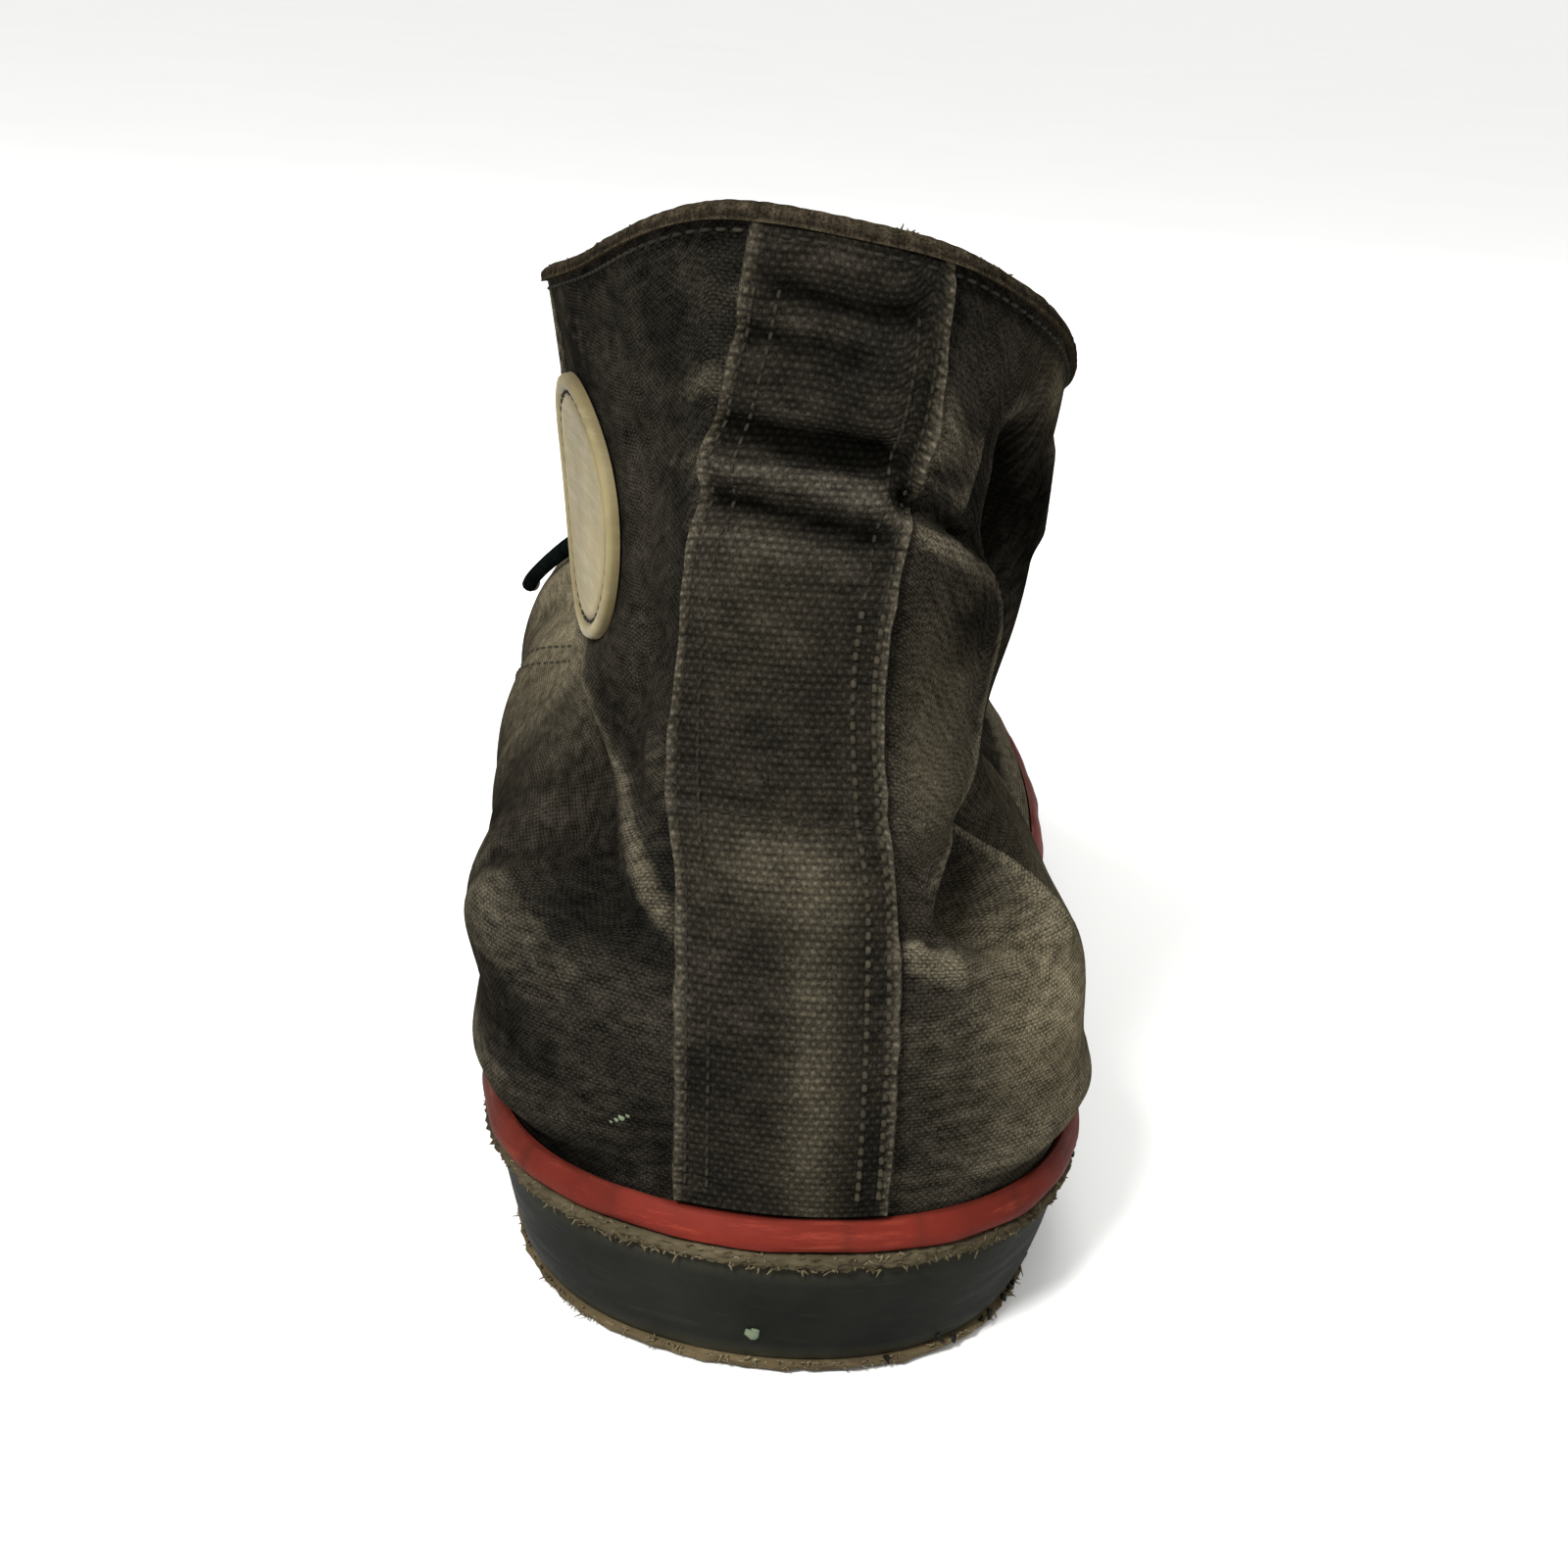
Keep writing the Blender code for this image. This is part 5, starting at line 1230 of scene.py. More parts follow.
def scatterYarn(form):  # roots at random stations, leaning out and up or down
    rng = np.random.default_rng(form["seed"])
    if "around" in form:
        s = rng.normal(*form["around"], form["threads"])
    else:
        s = rng.uniform(-1.0, 1.0, form["threads"])
    height = rng.uniform(*form["heights"], form["threads"])
    plan = edgePlan(s, sideOffset(s, height) + form["out"])
    roots = np.c_[plan, height + toeSpring(plan[:, 1])]
    out = np.c_[edgeNormal(s), np.zeros(len(s))]
    along = np.c_[-out[:, 1], out[:, 0], np.zeros(len(s))]
    length = rng.uniform(*form["length"], len(s))[:, None]
    lean = rng.normal(0.0, 0.8, (len(s), 1)) * along + out * rng.uniform(0.25, 0.7, (len(s), 1))
    lean[:, 2] += rng.normal(form["rise"], 0.45, len(s))
    bends = rng.normal(0.0, 0.35, (len(s), 3)) - np.array([0.0, 0.0, 0.1])
    return yarnEnds(roots, unit(lean) * length, bends * length, form["radius"])


# Cut edge of the cloth tape between stripe and foxing: a narrow ring roughened by random shag
def makeClothTape():
    s = ringStations(tapeForm["columns"])
    rng = np.random.default_rng(tapeForm["seed"])
    low, top = tapeForm["low"], tapeForm["top"]
    face = foxingForm["step"] - tapeForm["step"]
    section = []
    for t in np.linspace(0.0, 1.0, tapeForm["rows"]):
        height = low + (top - low) * t
        shag = rng.normal(0.0, tapeForm["shag"], len(s)) + 0.25 * math.sin(t * math.pi)
        section.append((sideOffset(s, height) + face + shag, height + rng.normal(0.0, 0.12, len(s))))
    for height in (top, low):
        section.append((sideOffset(s, height) + face - tapeForm["thick"], height + 0 * s))
    grid = soleRing(s, section)
    # painted shade: the whole ring is pulled towards the yarn look's dark edge colour, in the recess between
    # stripe and foxing
    makePiece("clothTape", grid, ringFaces(*grid.shape[:2]), [frayLook], "cloth_tape", ["cloth_tape"],
              layers={"wearAndPaintedLight": np.full(grid.shape[:2], 1.1)}, sharp=180.0)
    makePiece("tapeFray", *scatterYarn(tapeForm), [frayLook], "cloth_tape", sharp=180.0)


makeClothTape()


# Rings drawn in towards the foot's middle line, each point moving to the middle of its own pair
def inwardRings(ring, shares):
    partner = ring[(-np.arange(len(ring))) % len(ring)]
    middle = (ring + partner) / 2
    return [ring + (middle - ring) * share for share in shares]


def slitFaces(start, columns, flip):  # closes the last ring from one side of the foot to the other
    half = columns // 2
    i = np.arange(1, half - 1)
    quads = np.stack([i, i + 1, columns - i - 1, columns - i], -1) + start
    ends = np.array([[0, 1, columns - 1], [half - 1, half, half + 1]]) + start
    return (quads[:, ::-1], ends[:, ::-1]) if flip else (quads, ends)


def closedRings(rows, columns):  # faces of such rings, closed at both ends
    low, lowEnds = slitFaces(0, columns, True)
    high, highEnds = slitFaces((rows - 1) * columns, columns, False)
    return [np.vstack([gridFaces(rows, columns, True), low, high]), np.vstack([lowEnds, highEnds])]


soleForm = {
    "columns": 360, "edge": 0.6, "core": 2.5, "shag": 0.18, "seed": 3,
    "bevel": 1.0, "footFlare": 0.3, "edgeFlare": 0.45, "lip": 0.6,  # mm in and out from the side
    "drop": 0.4, "seam": 0.15,  # mm below the foxing, of the edge and of the seam inside it
    "clear": 0.15,  # loose threads end this far above the floor
    "shares": [0.86, 0.7, 0.5, 0.3, 0.15, 0.05],
}


# Outsole: arched tread face, a thin ragged edge that shows under the foxing, and the core inside it
def makeOutsole():
    s = ringStations(soleForm["columns"])
    rng = np.random.default_rng(soleForm["seed"])
    ragged = rng.normal(0.0, soleForm["shag"], len(s))

    def ring(offset, height, hollow):
        plan = edgePlan(s, offset)
        return np.c_[plan, height + toeSpring(plan[:, 1]) + (waistArch(plan[:, 1]) if hollow else 0.0)]

    low, shares = foxingForm["low"], soleForm["shares"]
    foot, edge = sideOffset(s, 0.0), sideOffset(s, low)
    tread = ring(foot - soleForm["bevel"], 0.0, True)
    bed = ring(sideOffset(s, lastForm["bed"]) - soleForm["core"], lastForm["bed"], False)
    grid = np.array(inwardRings(tread, shares) + [
        tread,
        ring(foot + soleForm["footFlare"] + ragged, soleForm["edge"], True),
        ring(edge + soleForm["edgeFlare"] + ragged[::-1], low - soleForm["drop"], False),
        ring(edge - soleForm["lip"], low - soleForm["seam"], False),
        ring(edge - soleForm["core"], low - soleForm["seam"], False),
        bed,
    ] + inwardRings(bed, shares[::-1]))
    makePiece("crepeOutsole", grid, closedRings(*grid.shape[:2]), [soleLook], "sole_rubber", ["outsole"])
    for name, form, look, slotName in (
        ("soleFray", soleFrayForm, frayLook, "sole_rubber"),
        ("tornRubber", tornForm, foxingLook, "black_rubber"),
    ):
        points, faces = scatterYarn(form)
        points[..., 2] = np.maximum(points[..., 2], soleForm["clear"])
        makePiece(name, points, faces, [look], slotName, sharp=180.0)


makeOutsole()

insoleForm = {
    "thick": 3.0, "gap": 0.3, "clear": 0.5,  # mm, the last to the wall
    "cup": 2.4, "cupWidth": 0.14,  # mm up at the margin, and the share of the way in that it takes
    "shares": [0.06, 0.14, 0.25, 0.4, 0.55, 0.7, 0.85],
}


# Insole: a flat cloth-covered board, its margin cupped up to the wall
def makeInsole():
    s, shares = upperStations()[::2], insoleForm["shares"]
    q = lastForm["feather"] + 0 * s
    low = upperPoint(s, q) - upperNormal(s, q) * (upperForm["wall"] + insoleForm["clear"])
    low[:, 2] = lastForm["bed"] + insoleForm["gap"] + toeSpring(low[:, 1])
    high = low + np.array([0.0, 0.0, insoleForm["thick"]])
    grid = np.array(inwardRings(low, shares[::-1]) + [low, high] + inwardRings(high, shares))
    cup = insoleForm["cup"] * np.exp(-((np.array([0.0] + shares) / insoleForm["cupWidth"]) ** 2))
    grid[len(shares) + 1 :, :, 2] += cup[:, None]
    makePiece("clothInsole", grid, closedRings(*grid.shape[:2]), [liningLook], "lining", ["insole"],
              uv=grid[..., :2])


makeInsole()

patchForm = {
    "station": creaseForm["patch"][0], "rise": creaseForm["patch"][1],
    "radius": 18.6, "gap": 0.35, "sides": 96,
    "groove": (0.865, 1.05),  # share of the radius, and mm up, where its row is sewn
    "profile": [  # share of the radius, height in mm, grime
        (1.000, 0.00, 0.9), (1.000, 0.90, 0.6), (0.985, 1.45, 0.1), (0.950, 1.70, 0.0),
        (0.910, 1.55, 0.1), (0.890, 1.10, 0.9), (0.865, 1.00, 1.0), (0.840, 1.10, 0.9),
        (0.820, 1.40, 0.1), (0.780, 1.45, 0.0), (0.740, 1.40, 0.1), (0.500, 1.38, 0.0),
        (0.250, 1.36, 0.0), (0.060, 1.36, 0.0),
    ],
}


# Station and rise of points at mm offsets across and up the upper's face, from its local stretch
def facePlace(station, rise, across, up):
    step = 0.01
    centre = upperPoint(station, rise)
    stepAcross = (upperPoint(station + step, rise) - centre) / step
    stepUp = (upperPoint(station, rise + step) - centre) / step
    unitUp = unit(stepUp)
    unitAcross = unit(stepAcross - unitUp * (stepAcross @ unitUp))
    offset = np.asarray(across)[..., None] * unitAcross + np.asarray(up)[..., None] * unitUp
    mixed = stepAcross @ stepUp
    stretch = np.array([[stepAcross @ stepAcross, mixed], [mixed, stepUp @ stepUp]])
    shift = np.linalg.solve(stretch, np.stack([offset @ stepAcross, offset @ stepUp]).reshape(2, -1))
    shift = shift.reshape((2,) + offset.shape[:-1])
    return station + shift[0], rise + shift[1]


# Bare moulded disc: its profile turned about the patch's middle, laid on the upper's smooth surface
def makePatch():
    rows = np.array(patchForm["profile"])
    angle = circle(patchForm["sides"])
    radius = rows[:, :1] * patchForm["radius"]
    s, q = facePlace(patchForm["station"], patchForm["rise"], radius * np.cos(angle), radius * np.sin(angle))
    top = upperPoint(s, q) + upperNormal(s, q) * (patchForm["gap"] + rows[:, 1:2])[..., None]
    under = upperPoint(s[-1:], q[-1:]) + upperNormal(s[-1:], q[-1:]) * patchForm["gap"]
    grid = np.concatenate([under, top])
    wearAndPaintedLight = np.r_[rows[:1, 2], rows[:, 2]][:, None] + np.zeros((1, len(angle)))
    makePiece("anklePatch", grid, tubeFaces(*grid.shape[:2]), [patchLook], "patch", ["ankle_patch"],
              layers={"wearAndPaintedLight": wearAndPaintedLight}, sharp=50.0)


makePatch()

tongueForm = {
    "thick": 2.0, "crown": 2.6, "drop": 4.0, "tip": 26.0, "root": (0.0, 16.0, -7.5),  # mm
    "from": 0.86, "free": 0.44,  # stations of the lowest and highest rows in the throat
    "tuck": (0.17, 0.36, 0.60), "least": 0.02,  # rise under the edges, and the stations where it grows
    "narrow": 0.35, "tipNarrow": (0.16, 0.22, 0.75),  # shares: of the root, of the tip, and from where
    "ripple": (0.35, 3.1),  # mm, and rows
    "rows": 48, "under": 8, "bridge": 18, "rootRows": 7, "tipRows": 14,
}


# Tongue: rows across the throat, tucked under both edges and crowned between them, a flat root towards
# the toe and a free tip that narrows upwards
def makeTongue():
    share = np.linspace(tongueForm["from"], tongueForm["free"], tongueForm["rows"])[:, None]
    most, start, end = tongueForm["tuck"]
    tuck = most * smoothStep(start, end, share) + tongueForm["least"]
    q = 1.0 - tuck * np.linspace(1.0, 0.0, tongueForm["under"])
    drop = -tongueForm["drop"] + 0 * q
    lateral = upperSkin(share + 0 * q, q, drop)
    medial = upperSkin(-share + 0 * q, q, drop)[:, ::-1]
    t = np.linspace(0.0, 1.0, tongueForm["bridge"] + 2)[1:-1]
    middle = lateral[:, -1:] + (medial[:, :1] - lateral[:, -1:]) * t[:, None]
    middle[..., 2] += tongueForm["crown"] * np.sin(t * math.pi)
    rows = np.concatenate([lateral, middle, medial], 1)
    low, centre = rows[0], rows[0].mean(0)
    root = []
    for part in np.linspace(1.0, 0.12, tongueForm["rootRows"]):
        shrink = np.array([1.0 - tongueForm["narrow"] * part, 1.0, 1.0 - 0.9 * part])
        root.append(centre + (low - centre) * shrink + np.array(tongueForm["root"]) * part)
    climb = unit(rows[-1].mean(0) - rows[-9].mean(0))
    last, centre = rows[-1], rows[-1].mean(0)
    even, late, after = tongueForm["tipNarrow"]
    tip = []
    for part in np.linspace(0.08, 1.0, tongueForm["tipRows"]):
        narrow = 1.0 - even * part - late * max(0.0, part - after) / (1.0 - after)
        drawn = (last - centre) * np.array([narrow, 1.0, 1.0])
        tip.append(centre + drawn + climb * tongueForm["tip"] * part)
    outer = np.concatenate([np.array(root), rows, np.array(tip)])
    normal = gridNormal(outer, False)
    deep, pace = tongueForm["ripple"]
    outer = outer + normal * (deep * np.sin(np.arange(len(outer)) / pace))[:, None, None]
    inner = outer - normal * tongueForm["thick"]
    uv = np.stack(gridLengths(outer), -1)
    # ridges of the tongue rubbed pale, troughs darkened with painted shade
    wearAndPaintedLight = np.clip(standOut(outer, normal, False, 3, 3) / 0.5, -1.5, 1.5)
    makePiece("tongueFlap", np.stack([outer, inner]), shellFaces(*outer.shape[:2], False), [bindingLook],
              "lining", ["tongue"], uv=np.stack([uv, uv]), layers={"wearAndPaintedLight": np.stack([wearAndPaintedLight, wearAndPaintedLight])},
              sharp=60.0)


makeTongue()


# Eyelets: one rolled profile (out along the bore, over the rim, down the barrel) turned about each axis
def makeEyelets():
    wall, seat = upperForm["wall"], eyeletForm["seat"]
    bore, barrel, rim = eyeletForm["bore"], eyeletForm["barrel"], eyeletForm["rim"]
    profile = np.array([
        (bore, -wall), (bore, seat), (bore + 0.15, seat + 0.35),
        (bore + 0.5, seat + 0.62), (bore + 1.0, seat + 0.70),
        (rim - 0.45, seat + 0.50), (rim - 0.08, seat + 0.18), (rim, seat - 0.10), (rim - 0.2, seat - 0.25),
        (barrel, seat - 0.25), (barrel, -wall),
    ])
    centres, axes = eyeletFrames()
    side = unit(np.cross(axes, np.array([0.0, 1.0, 0.0])))
    turned = turnedRing(side, np.cross(axes, side), circle(eyeletForm["sides"]))
    points = (
        centres[:, None, None]
        + turned[:, None] * profile[None, :, None, :1]
        + axes[:, None, None] * profile[None, :, None, 1:]
    )
    rows, sides = len(profile), eyeletForm["sides"]
    faces = repeatFaces([ringFaces(rows, sides)[:, ::-1]], len(centres), rows * sides)
    wearAndPaintedLight = np.array([0.0, 0.1, 0.6, 1.0, 1.1, 0.9, 0.6, 0.2, 0.0, 0.0, 0.0])[None, :, None]
    wearAndPaintedLight = wearAndPaintedLight + np.zeros((len(centres), 1, sides))
    names = [f"eyelet_{part}_{i + 1}" for part in ("lateral", "medial") for i in range(eyeletForm["aSide"])]
    makePiece("eyelets", points, faces, [eyeletLook], "enamel", names, layers={"wearAndPaintedLight": wearAndPaintedLight})


makeEyelets()

laceForm = {
    "rows": 4, "wide": 4.4, "thick": 1.7, "crown": 3.0, "sides": 12, "steps": 44,
    "strand": [  # share of the way, 1 on the far side, rise above the eyelets, mm off the canvas
        (0.00, 0, 0.000, -2.80),
        (0.00, 0, 0.000, -0.40),
        (0.00, 0, 0.012, 1.50),
        (0.06, 0, 0.050, 1.60),
        (0.20, 0, 0.100, 1.50),
        (0.34, 0, 0.130, 1.50),
        (0.66, 1, 0.130, -2.75),
        (0.80, 1, 0.090, -2.75),
        (0.92, 1, 0.050, -2.75),
    ],
    "edge": 5,  # row of that table where the strand leaves the near edge
}


# A section carried along a path: side is the run crossed with the path's own up
def sweepSection(path, up, widths, heights, sides):
    run = unit(np.gradient(path, axis=0))
    side = unit(np.cross(run, up))
    up = np.cross(side, run)
    angle = -circle(sides)
    a = np.sign(np.cos(angle)) * np.abs(np.cos(angle)) ** 0.7
    b = np.sign(np.sin(angle)) * np.abs(np.sin(angle)) ** 0.8
    ring = side[:, None] * (a * widths[:, None] / 2)[..., None]
    return path[:, None] + ring + up[:, None] * (b * heights[:, None] / 2)[..., None]


# One strand: up through its own eyelet, over the edge and the throat, then pressed flat under the far
# edge, where the next strand comes up
def lacePath(start, finish, height):
    way, across, above, lift = np.array(laceForm["strand"]).T
    edge = laceForm["edge"]
    lift[edge] += height
    share, other = abs(start), abs(finish)
    s = (share + (other - share) * way) * np.where(across > 0, np.sign(finish), np.sign(start))
    q = 1.0 - eyeletForm["inset"] + above
    points = upperSkin(s, q, lift)
    normals = upperNormal(s, q)
    normals[0] = normals[1] = normals[2]
    crown = points[edge : edge + 2].mean(0) + np.array([0.0, 0.0, laceForm["crown"] + 1.5 * height])
    points = np.insert(points, edge + 1, crown, axis=0)
    normals = np.insert(normals, edge + 1, unit(normals[edge] + normals[edge + 1]), axis=0)
    knots = runLength(points)
    where = np.linspace(0.0, knots[-1], laceForm["steps"])
    up = splineThrough(knots, normals, where)
    path = splineThrough(knots, points, where)
    share = where / knots[-1]
    flat = smoothStep(0.74, 0.86, share)
    wide = laceForm["wide"] * (0.62 + 0.38 * smoothStep(0.05, 0.22, share))
    return path, up, wide, laceForm["thick"] * (1.0 - 0.6 * flat), where


# Lacing: a bar over the lowest pair of eyelets, then crossings between each pair of rows
def makeLace():
    shares = eyeletShares()
    strands = [(shares[0], -shares[0], 0.0)]
    for row in range(laceForm["rows"] - 1):
        strands.append((shares[row], -shares[row + 1], 0.0))
        strands.append((-shares[row], shares[row + 1], 1.0))
    steps, sides = laceForm["steps"], laceForm["sides"]
    grids, uv = [], []
    for strand in strands:
        path, up, wide, thick, where = lacePath(*strand)
        grids.append(sweepSection(path, up, wide, thick, sides))
        uv.append(np.stack(np.meshgrid(np.linspace(0.0, 12.0, sides), where), -1))
    faces = repeatFaces(tubeFaces(steps, sides), len(strands), steps * sides)
    names = ["lace_bar"] + [f"lace_cross_{row + 1}" for row in range(laceForm["rows"] - 1)]
    makePiece("lacing", np.array(grids), faces, [laceLook], "lace", names, uv=np.array(uv), sharp=70.0)


makeLace()

laceEndForm = {
    "radius": 1.8, "flat": 0.8, "sides": 12, "points": 30,
    "agletRadius": 1.6, "agletLength": 17.0, "gap": 0.6, "agletSides": 16, "agletPoints": 26,
    "taper": 0.10, "crimps": (0.08, 0.22), "crimp": (0.35, 0.03),  # mm deep, and the share each takes
    "route": [  # station, rise, mm off the upper: out of its eyelet and down over the medial vamp
        (-eyeletShares()[laceForm["rows"] - 1], 1.0 - eyeletForm["inset"], -0.3),
        (-0.570, 0.800, 3.0),
        (-0.550, 0.660, 2.5),
        (-0.570, 0.490, 2.5),
        (-0.640, 0.340, 2.5),
        (-0.730, 0.230, 2.8),
    ],
}


# Loose end of the lace with its metal tip: round braid along a smooth curve through the route
def makeLaceEnd():
    route = np.array(laceEndForm["route"])
    up = upperNormal(route[:, 0], route[:, 1])
    points = upperPoint(route[:, 0], route[:, 1]) + up * route[:, 2:]
    knots = runLength(points)
    cut = knots[-1] - laceEndForm["agletLength"]
    where = np.linspace(0.0, cut - laceEndForm["gap"], laceEndForm["points"])
    path = splineThrough(knots, points, where)
    width, sides = 2 * laceEndForm["radius"], laceEndForm["sides"]
    wide = width * np.ones(len(where))
    grid = sweepSection(path, splineThrough(knots, up, where), wide, laceEndForm["flat"] * wide, sides)
    uv = np.stack(np.meshgrid(np.linspace(0.0, 11.0, sides), where), -1)
    cord = makePiece("laceEnd", grid, tubeFaces(*grid.shape[:2]), [laceLook], "lace", ["lace_end"],
                     uv=uv, sharp=70.0)
    along = np.linspace(cut, knots[-1], laceEndForm["agletPoints"])
    share = (along - cut) / laceEndForm["agletLength"]
    size = 2 * laceEndForm["agletRadius"] * (1.0 - laceEndForm["taper"] * share)
    deep, narrow = laceEndForm["crimp"]
    size -= sum(deep * np.exp(-(((share - at) / narrow) ** 2)) for at in laceEndForm["crimps"])
    size[-1], size[-2] = size[-1] * 0.55, size[-2] * 0.88
    line, above = (splineThrough(knots, table, along) for table in (points, up))
    grid = sweepSection(line, above, size, size, laceEndForm["agletSides"])
    tip = makePiece("agletTip", grid, tubeFaces(*grid.shape[:2]), [agletLook], "aglet", ["aglet"])
    print("lace end", round(float(knots[-1])), "mm with its tip")


makeLaceEnd()

stitchForm = {
    "radius": 0.24, "knot": 0.36, "sides": 6, "share": 0.66,
    "pitch": {"strip": 1.75, "across": 2.4, "collar": 2.2, "seam": 2.6, "patch": 2.4},  # mm
    "stripRows": [  # mm from the strip's edge, side, lowest and highest rise, how pale
        (1.9, 1.0, 0.030, 0.640, 0.28), (4.6, 1.0, 0.030, 0.640, 0.28),
        (1.9, 1.0, 0.645, 0.935, 0.04), (4.6, 1.0, 0.645, 0.935, 0.04),
        (2.0, -1.0, 0.030, 0.935, 0.08), (4.8, -1.0, 0.030, 0.935, 0.08),
    ],
    "seams": [  # station and rise of the upper's own seams, the same on both sides
        [(0.350, 0.930), (0.352, 0.800), (0.372, 0.640), (0.420, 0.470), (0.490, 0.300), (0.560, 0.120)],
        [(0.338, 0.930), (0.340, 0.800), (0.358, 0.630), (0.404, 0.455), (0.474, 0.285), (0.545, 0.105)],
        [(0.372, 0.965), (0.500, 0.965), (0.700, 0.965), (0.880, 0.965), (0.995, 0.965)],
        [(0.380, 0.770), (0.500, 0.770), (0.700, 0.750), (0.860, 0.740), (0.995, 0.730)],
    ],
}


# Sewn rows: every stitch is a short strand that sinks into the cloth at both ends
def stitchRow(points, normals, pitch, radius):
    run = runLength(points)
    count = max(int(run[-1] / pitch), 1)
    middle = (np.arange(count) + 0.5) * run[-1] / count
    place, ahead, behind = (readTable(middle + step, run, points) for step in (0.0, 0.3, -0.3))
    up = readTable(middle, run, normals)
    run = unit(ahead - behind)
    side = unit(np.cross(run, up))
    t = np.array([-0.5, -0.25, 0.25, 0.5]) * pitch * stitchForm["share"]
    rise = np.array([-0.9, 0.35, 0.35, -0.9]) * radius
    thick = np.array([0.6, 1.0, 1.0, 0.6]) * radius
    line = place[:, None] + run[:, None] * t[None, :, None] + up[:, None] * rise[None, :, None]
    ring = turnedRing(side, up, -circle(stitchForm["sides"]))
    return (line[:, :, None] + ring[:, None] * thick[None, :, None, None]).reshape(-1, 3)


# Rows down the strip and across it, along the binding and the upper's seams, and round the patch
def makeStitches():
    rows, pitch = [], stitchForm["pitch"]
    proud = stripForm["gap"] + stripForm["thick"] + 0.05

    def sew(s, q, lift, kind, pale):  # a row's last value is how pale its thread has worn
        rows.append((upperSkin(s, q, lift + 0 * s), upperNormal(s, q), pitch[kind], pale))

    for fromEdge, side, low, high, pale in stitchForm["stripRows"]:  # down both edges of the strip
        q = np.linspace(low, high, 300)
        sew(stripStation(side * (stripWidth(q) / 2 - fromEdge), q), q, proud, "strip", pale)
    across = np.linspace(-0.5, 0.5, 60) * (stripWidth(stripForm["stitchRow"]) - 4.0)
    q = stripForm["stitchRow"] + 0 * across
    sew(stripStation(across, q), q, proud, "across", 0.0)
    s = np.linspace(-bindingForm["end"], bindingForm["end"], 500)  # along the binding's lower edge
    over = 0.95 * (np.abs(s - 0.004) < 0.048)  # the strip lies under these
    sew(s, bindingForm["from"] - 0.010 + 0 * s, 0.10 + over, "collar", 0.0)
    for seam in stitchForm["seams"]:
        for side in (-1.0, 1.0):
            line = np.array(seam) * (side, 1.0)
            knots = runLength(line * 300.0)
            s, q = splineThrough(knots, line, np.linspace(0.0, knots[-1], 240)).T
            sew(s, q, 0.05, "seam", 0.2)
    angle = np.linspace(0.0, 2 * math.pi, 160)  # round the groove of the patch
    share, height = patchForm["groove"]
    ring = share * patchForm["radius"]
    s, q = facePlace(patchForm["station"], patchForm["rise"], ring * np.cos(angle), ring * np.sin(angle))
    normal = upperNormal(s, q)
    rows.append((upperPoint(s, q) + normal * (patchForm["gap"] + height), normal, pitch["patch"], 0.0))
    # the palest rows have risen into knots
    sewn = [stitchRow(*row[:3], stitchForm["knot" if row[3] > 0.25 else "radius"]) for row in rows]
    wearAndPaintedLight = np.concatenate([np.full(len(part), row[3]) for part, row in zip(sewn, rows)])
    points, each = np.vstack(sewn), 4 * stitchForm["sides"]
    faces = repeatFaces(tubeFaces(4, stitchForm["sides"]), len(points) // each, each)
    makePiece("stitches", points, faces, [threadLook], "webbing", layers={"wearAndPaintedLight": wearAndPaintedLight}, sharp=180.0)


makeStitches()

looseForm = {
    "tufts": [  # count, station, spread, longest in mm
        (12, 0.034, 0.0060, 0.8),
        (6, 0.092, 0.002, 0.8),
        (6, -0.022, 0.004, 0.7),
        (120, 0.000, 0.160, 0.4),
    ],
    "radius": 0.28,
    "seed": 12,
}


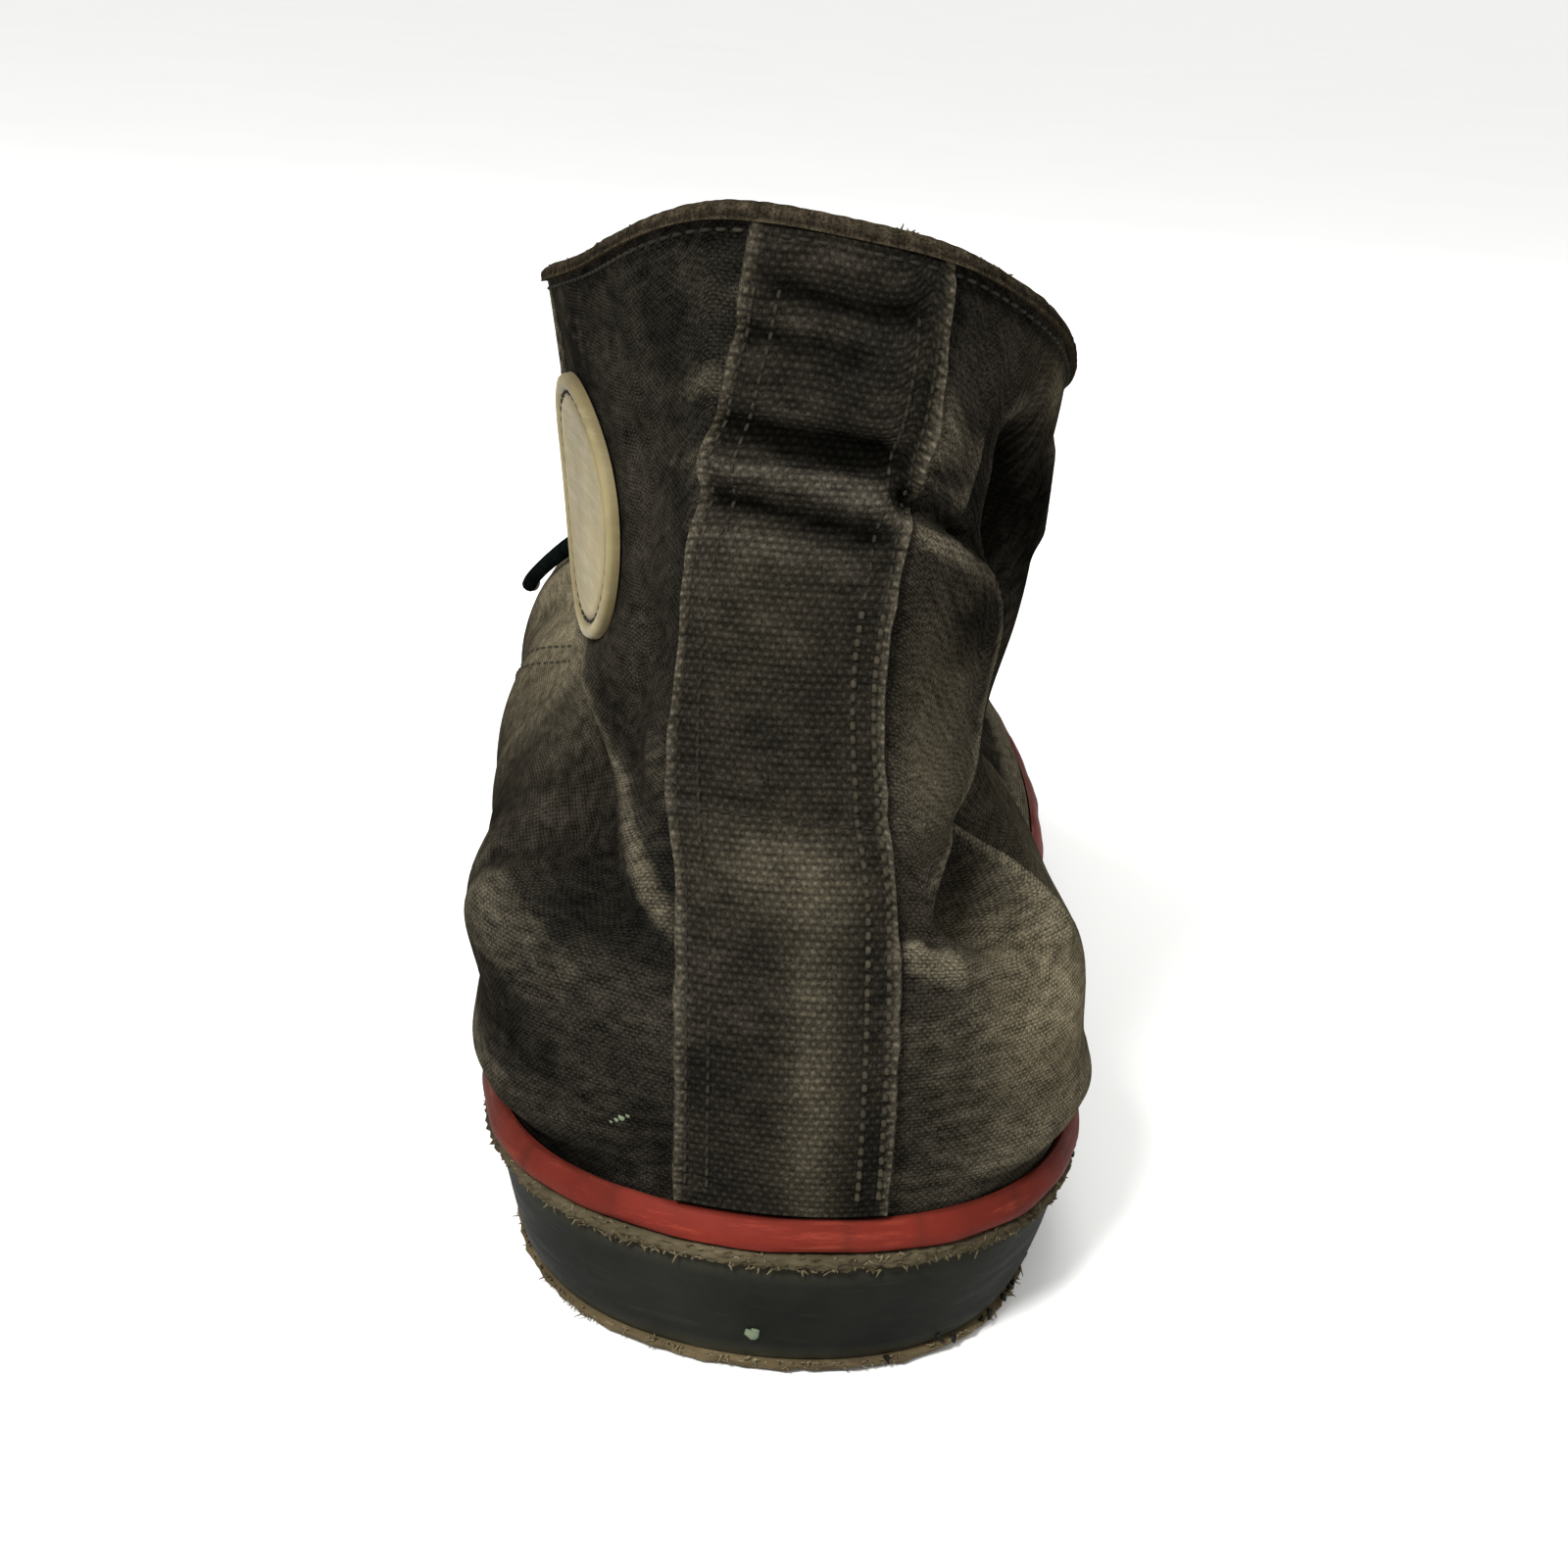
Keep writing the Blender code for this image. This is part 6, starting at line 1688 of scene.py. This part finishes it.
# Torn tufts and stray yarn on the binding's crown: strands that lean up and out from the rim
def makeCollarFray():
    rng = np.random.default_rng(looseForm["seed"])
    counts, stations, spreads, longest = (np.array(part) for part in zip(*looseForm["tufts"]))
    s = np.clip(rng.normal(np.repeat(stations, counts), np.repeat(spreads, counts)), -0.34, 0.34)
    size = (np.repeat(longest, counts) * rng.uniform(0.3, 1.0, len(s)))[:, None]
    one = np.ones(len(s))
    up, out = rimUp(s), upperNormal(s, one)
    roots = upperSkin(s, one, rng.uniform(-2.0, 0.8, len(s))) + up * 0.7
    lean = up * rng.uniform(0.3, 1.0, (len(s), 1)) + out * rng.normal(0.3, 0.5, (len(s), 1))
    lean += np.cross(out, up) * rng.normal(0.0, 0.6, (len(s), 1))
    bends = rng.normal(0.0, 0.4, (len(s), 3)) * size
    strands = yarnEnds(roots, unit(lean) * size, bends, looseForm["radius"])
    makePiece("collarFray", *strands, [bareYarnLook], "lining", sharp=180.0)


makeCollarFray()

speckForm = {
    "canvas": [  # station, rise, radius in mm
        (-0.0690, 0.086, 0.42), (-0.0712, 0.082, 0.30), (-0.0665, 0.090, 0.26), (-0.0735, 0.078, 0.20),
        (0.1080, 0.284, 0.15),
    ],
    "foxing": [(-0.0140, 6.0, 0.85), (-0.0128, 6.5, 0.50)],  # station, height, radius in mm
    "profile": [(1.0, 0.0), (1.0, 0.25), (0.8, 0.5), (0.35, 0.65)],  # shares of the radius: out, up
    "sides": 9, "proud": 0.3,  # the second in mm off the foxing's side
}


# Dried specks of paint: low domes, a profile turned about each place's normal, with a wavering rim
def makeSpecks():
    s, q, size = np.array(speckForm["canvas"]).T
    centres, normals = [upperSkin(s, q, 0 * s)], [upperNormal(s, q)]
    s, height, other = np.array(speckForm["foxing"]).T
    plan = edgePlan(s, sideOffset(s, height) + speckForm["proud"])
    centres.append(np.c_[plan, height])
    normals.append(np.c_[edgeNormal(s), 0 * s])
    centres, normals, size = np.vstack(centres), np.vstack(normals), np.r_[size, other]
    side = unit(np.cross(normals, np.array([0.0, 0.0, 1.0])))
    angle = -circle(speckForm["sides"])
    waver = 1.0 + 0.25 * np.sin(2.0 * angle + 1.0) + 0.15 * np.sin(3.0 * angle)
    turned = turnedRing(side, np.cross(side, normals), angle) * waver[None, :, None]
    out, rise = np.array(speckForm["profile"]).T
    points = (
        centres[:, None, None]
        + turned[:, None] * (size[:, None] * out)[..., None, None]
        + normals[:, None, None] * (size[:, None] * rise)[..., None, None]
    )
    faces = repeatFaces(tubeFaces(len(out), len(angle)), len(size), len(out) * len(angle))
    makePiece("paintSpecks", points, faces, [paintLook], "patch", sharp=60.0)


makeSpecks()
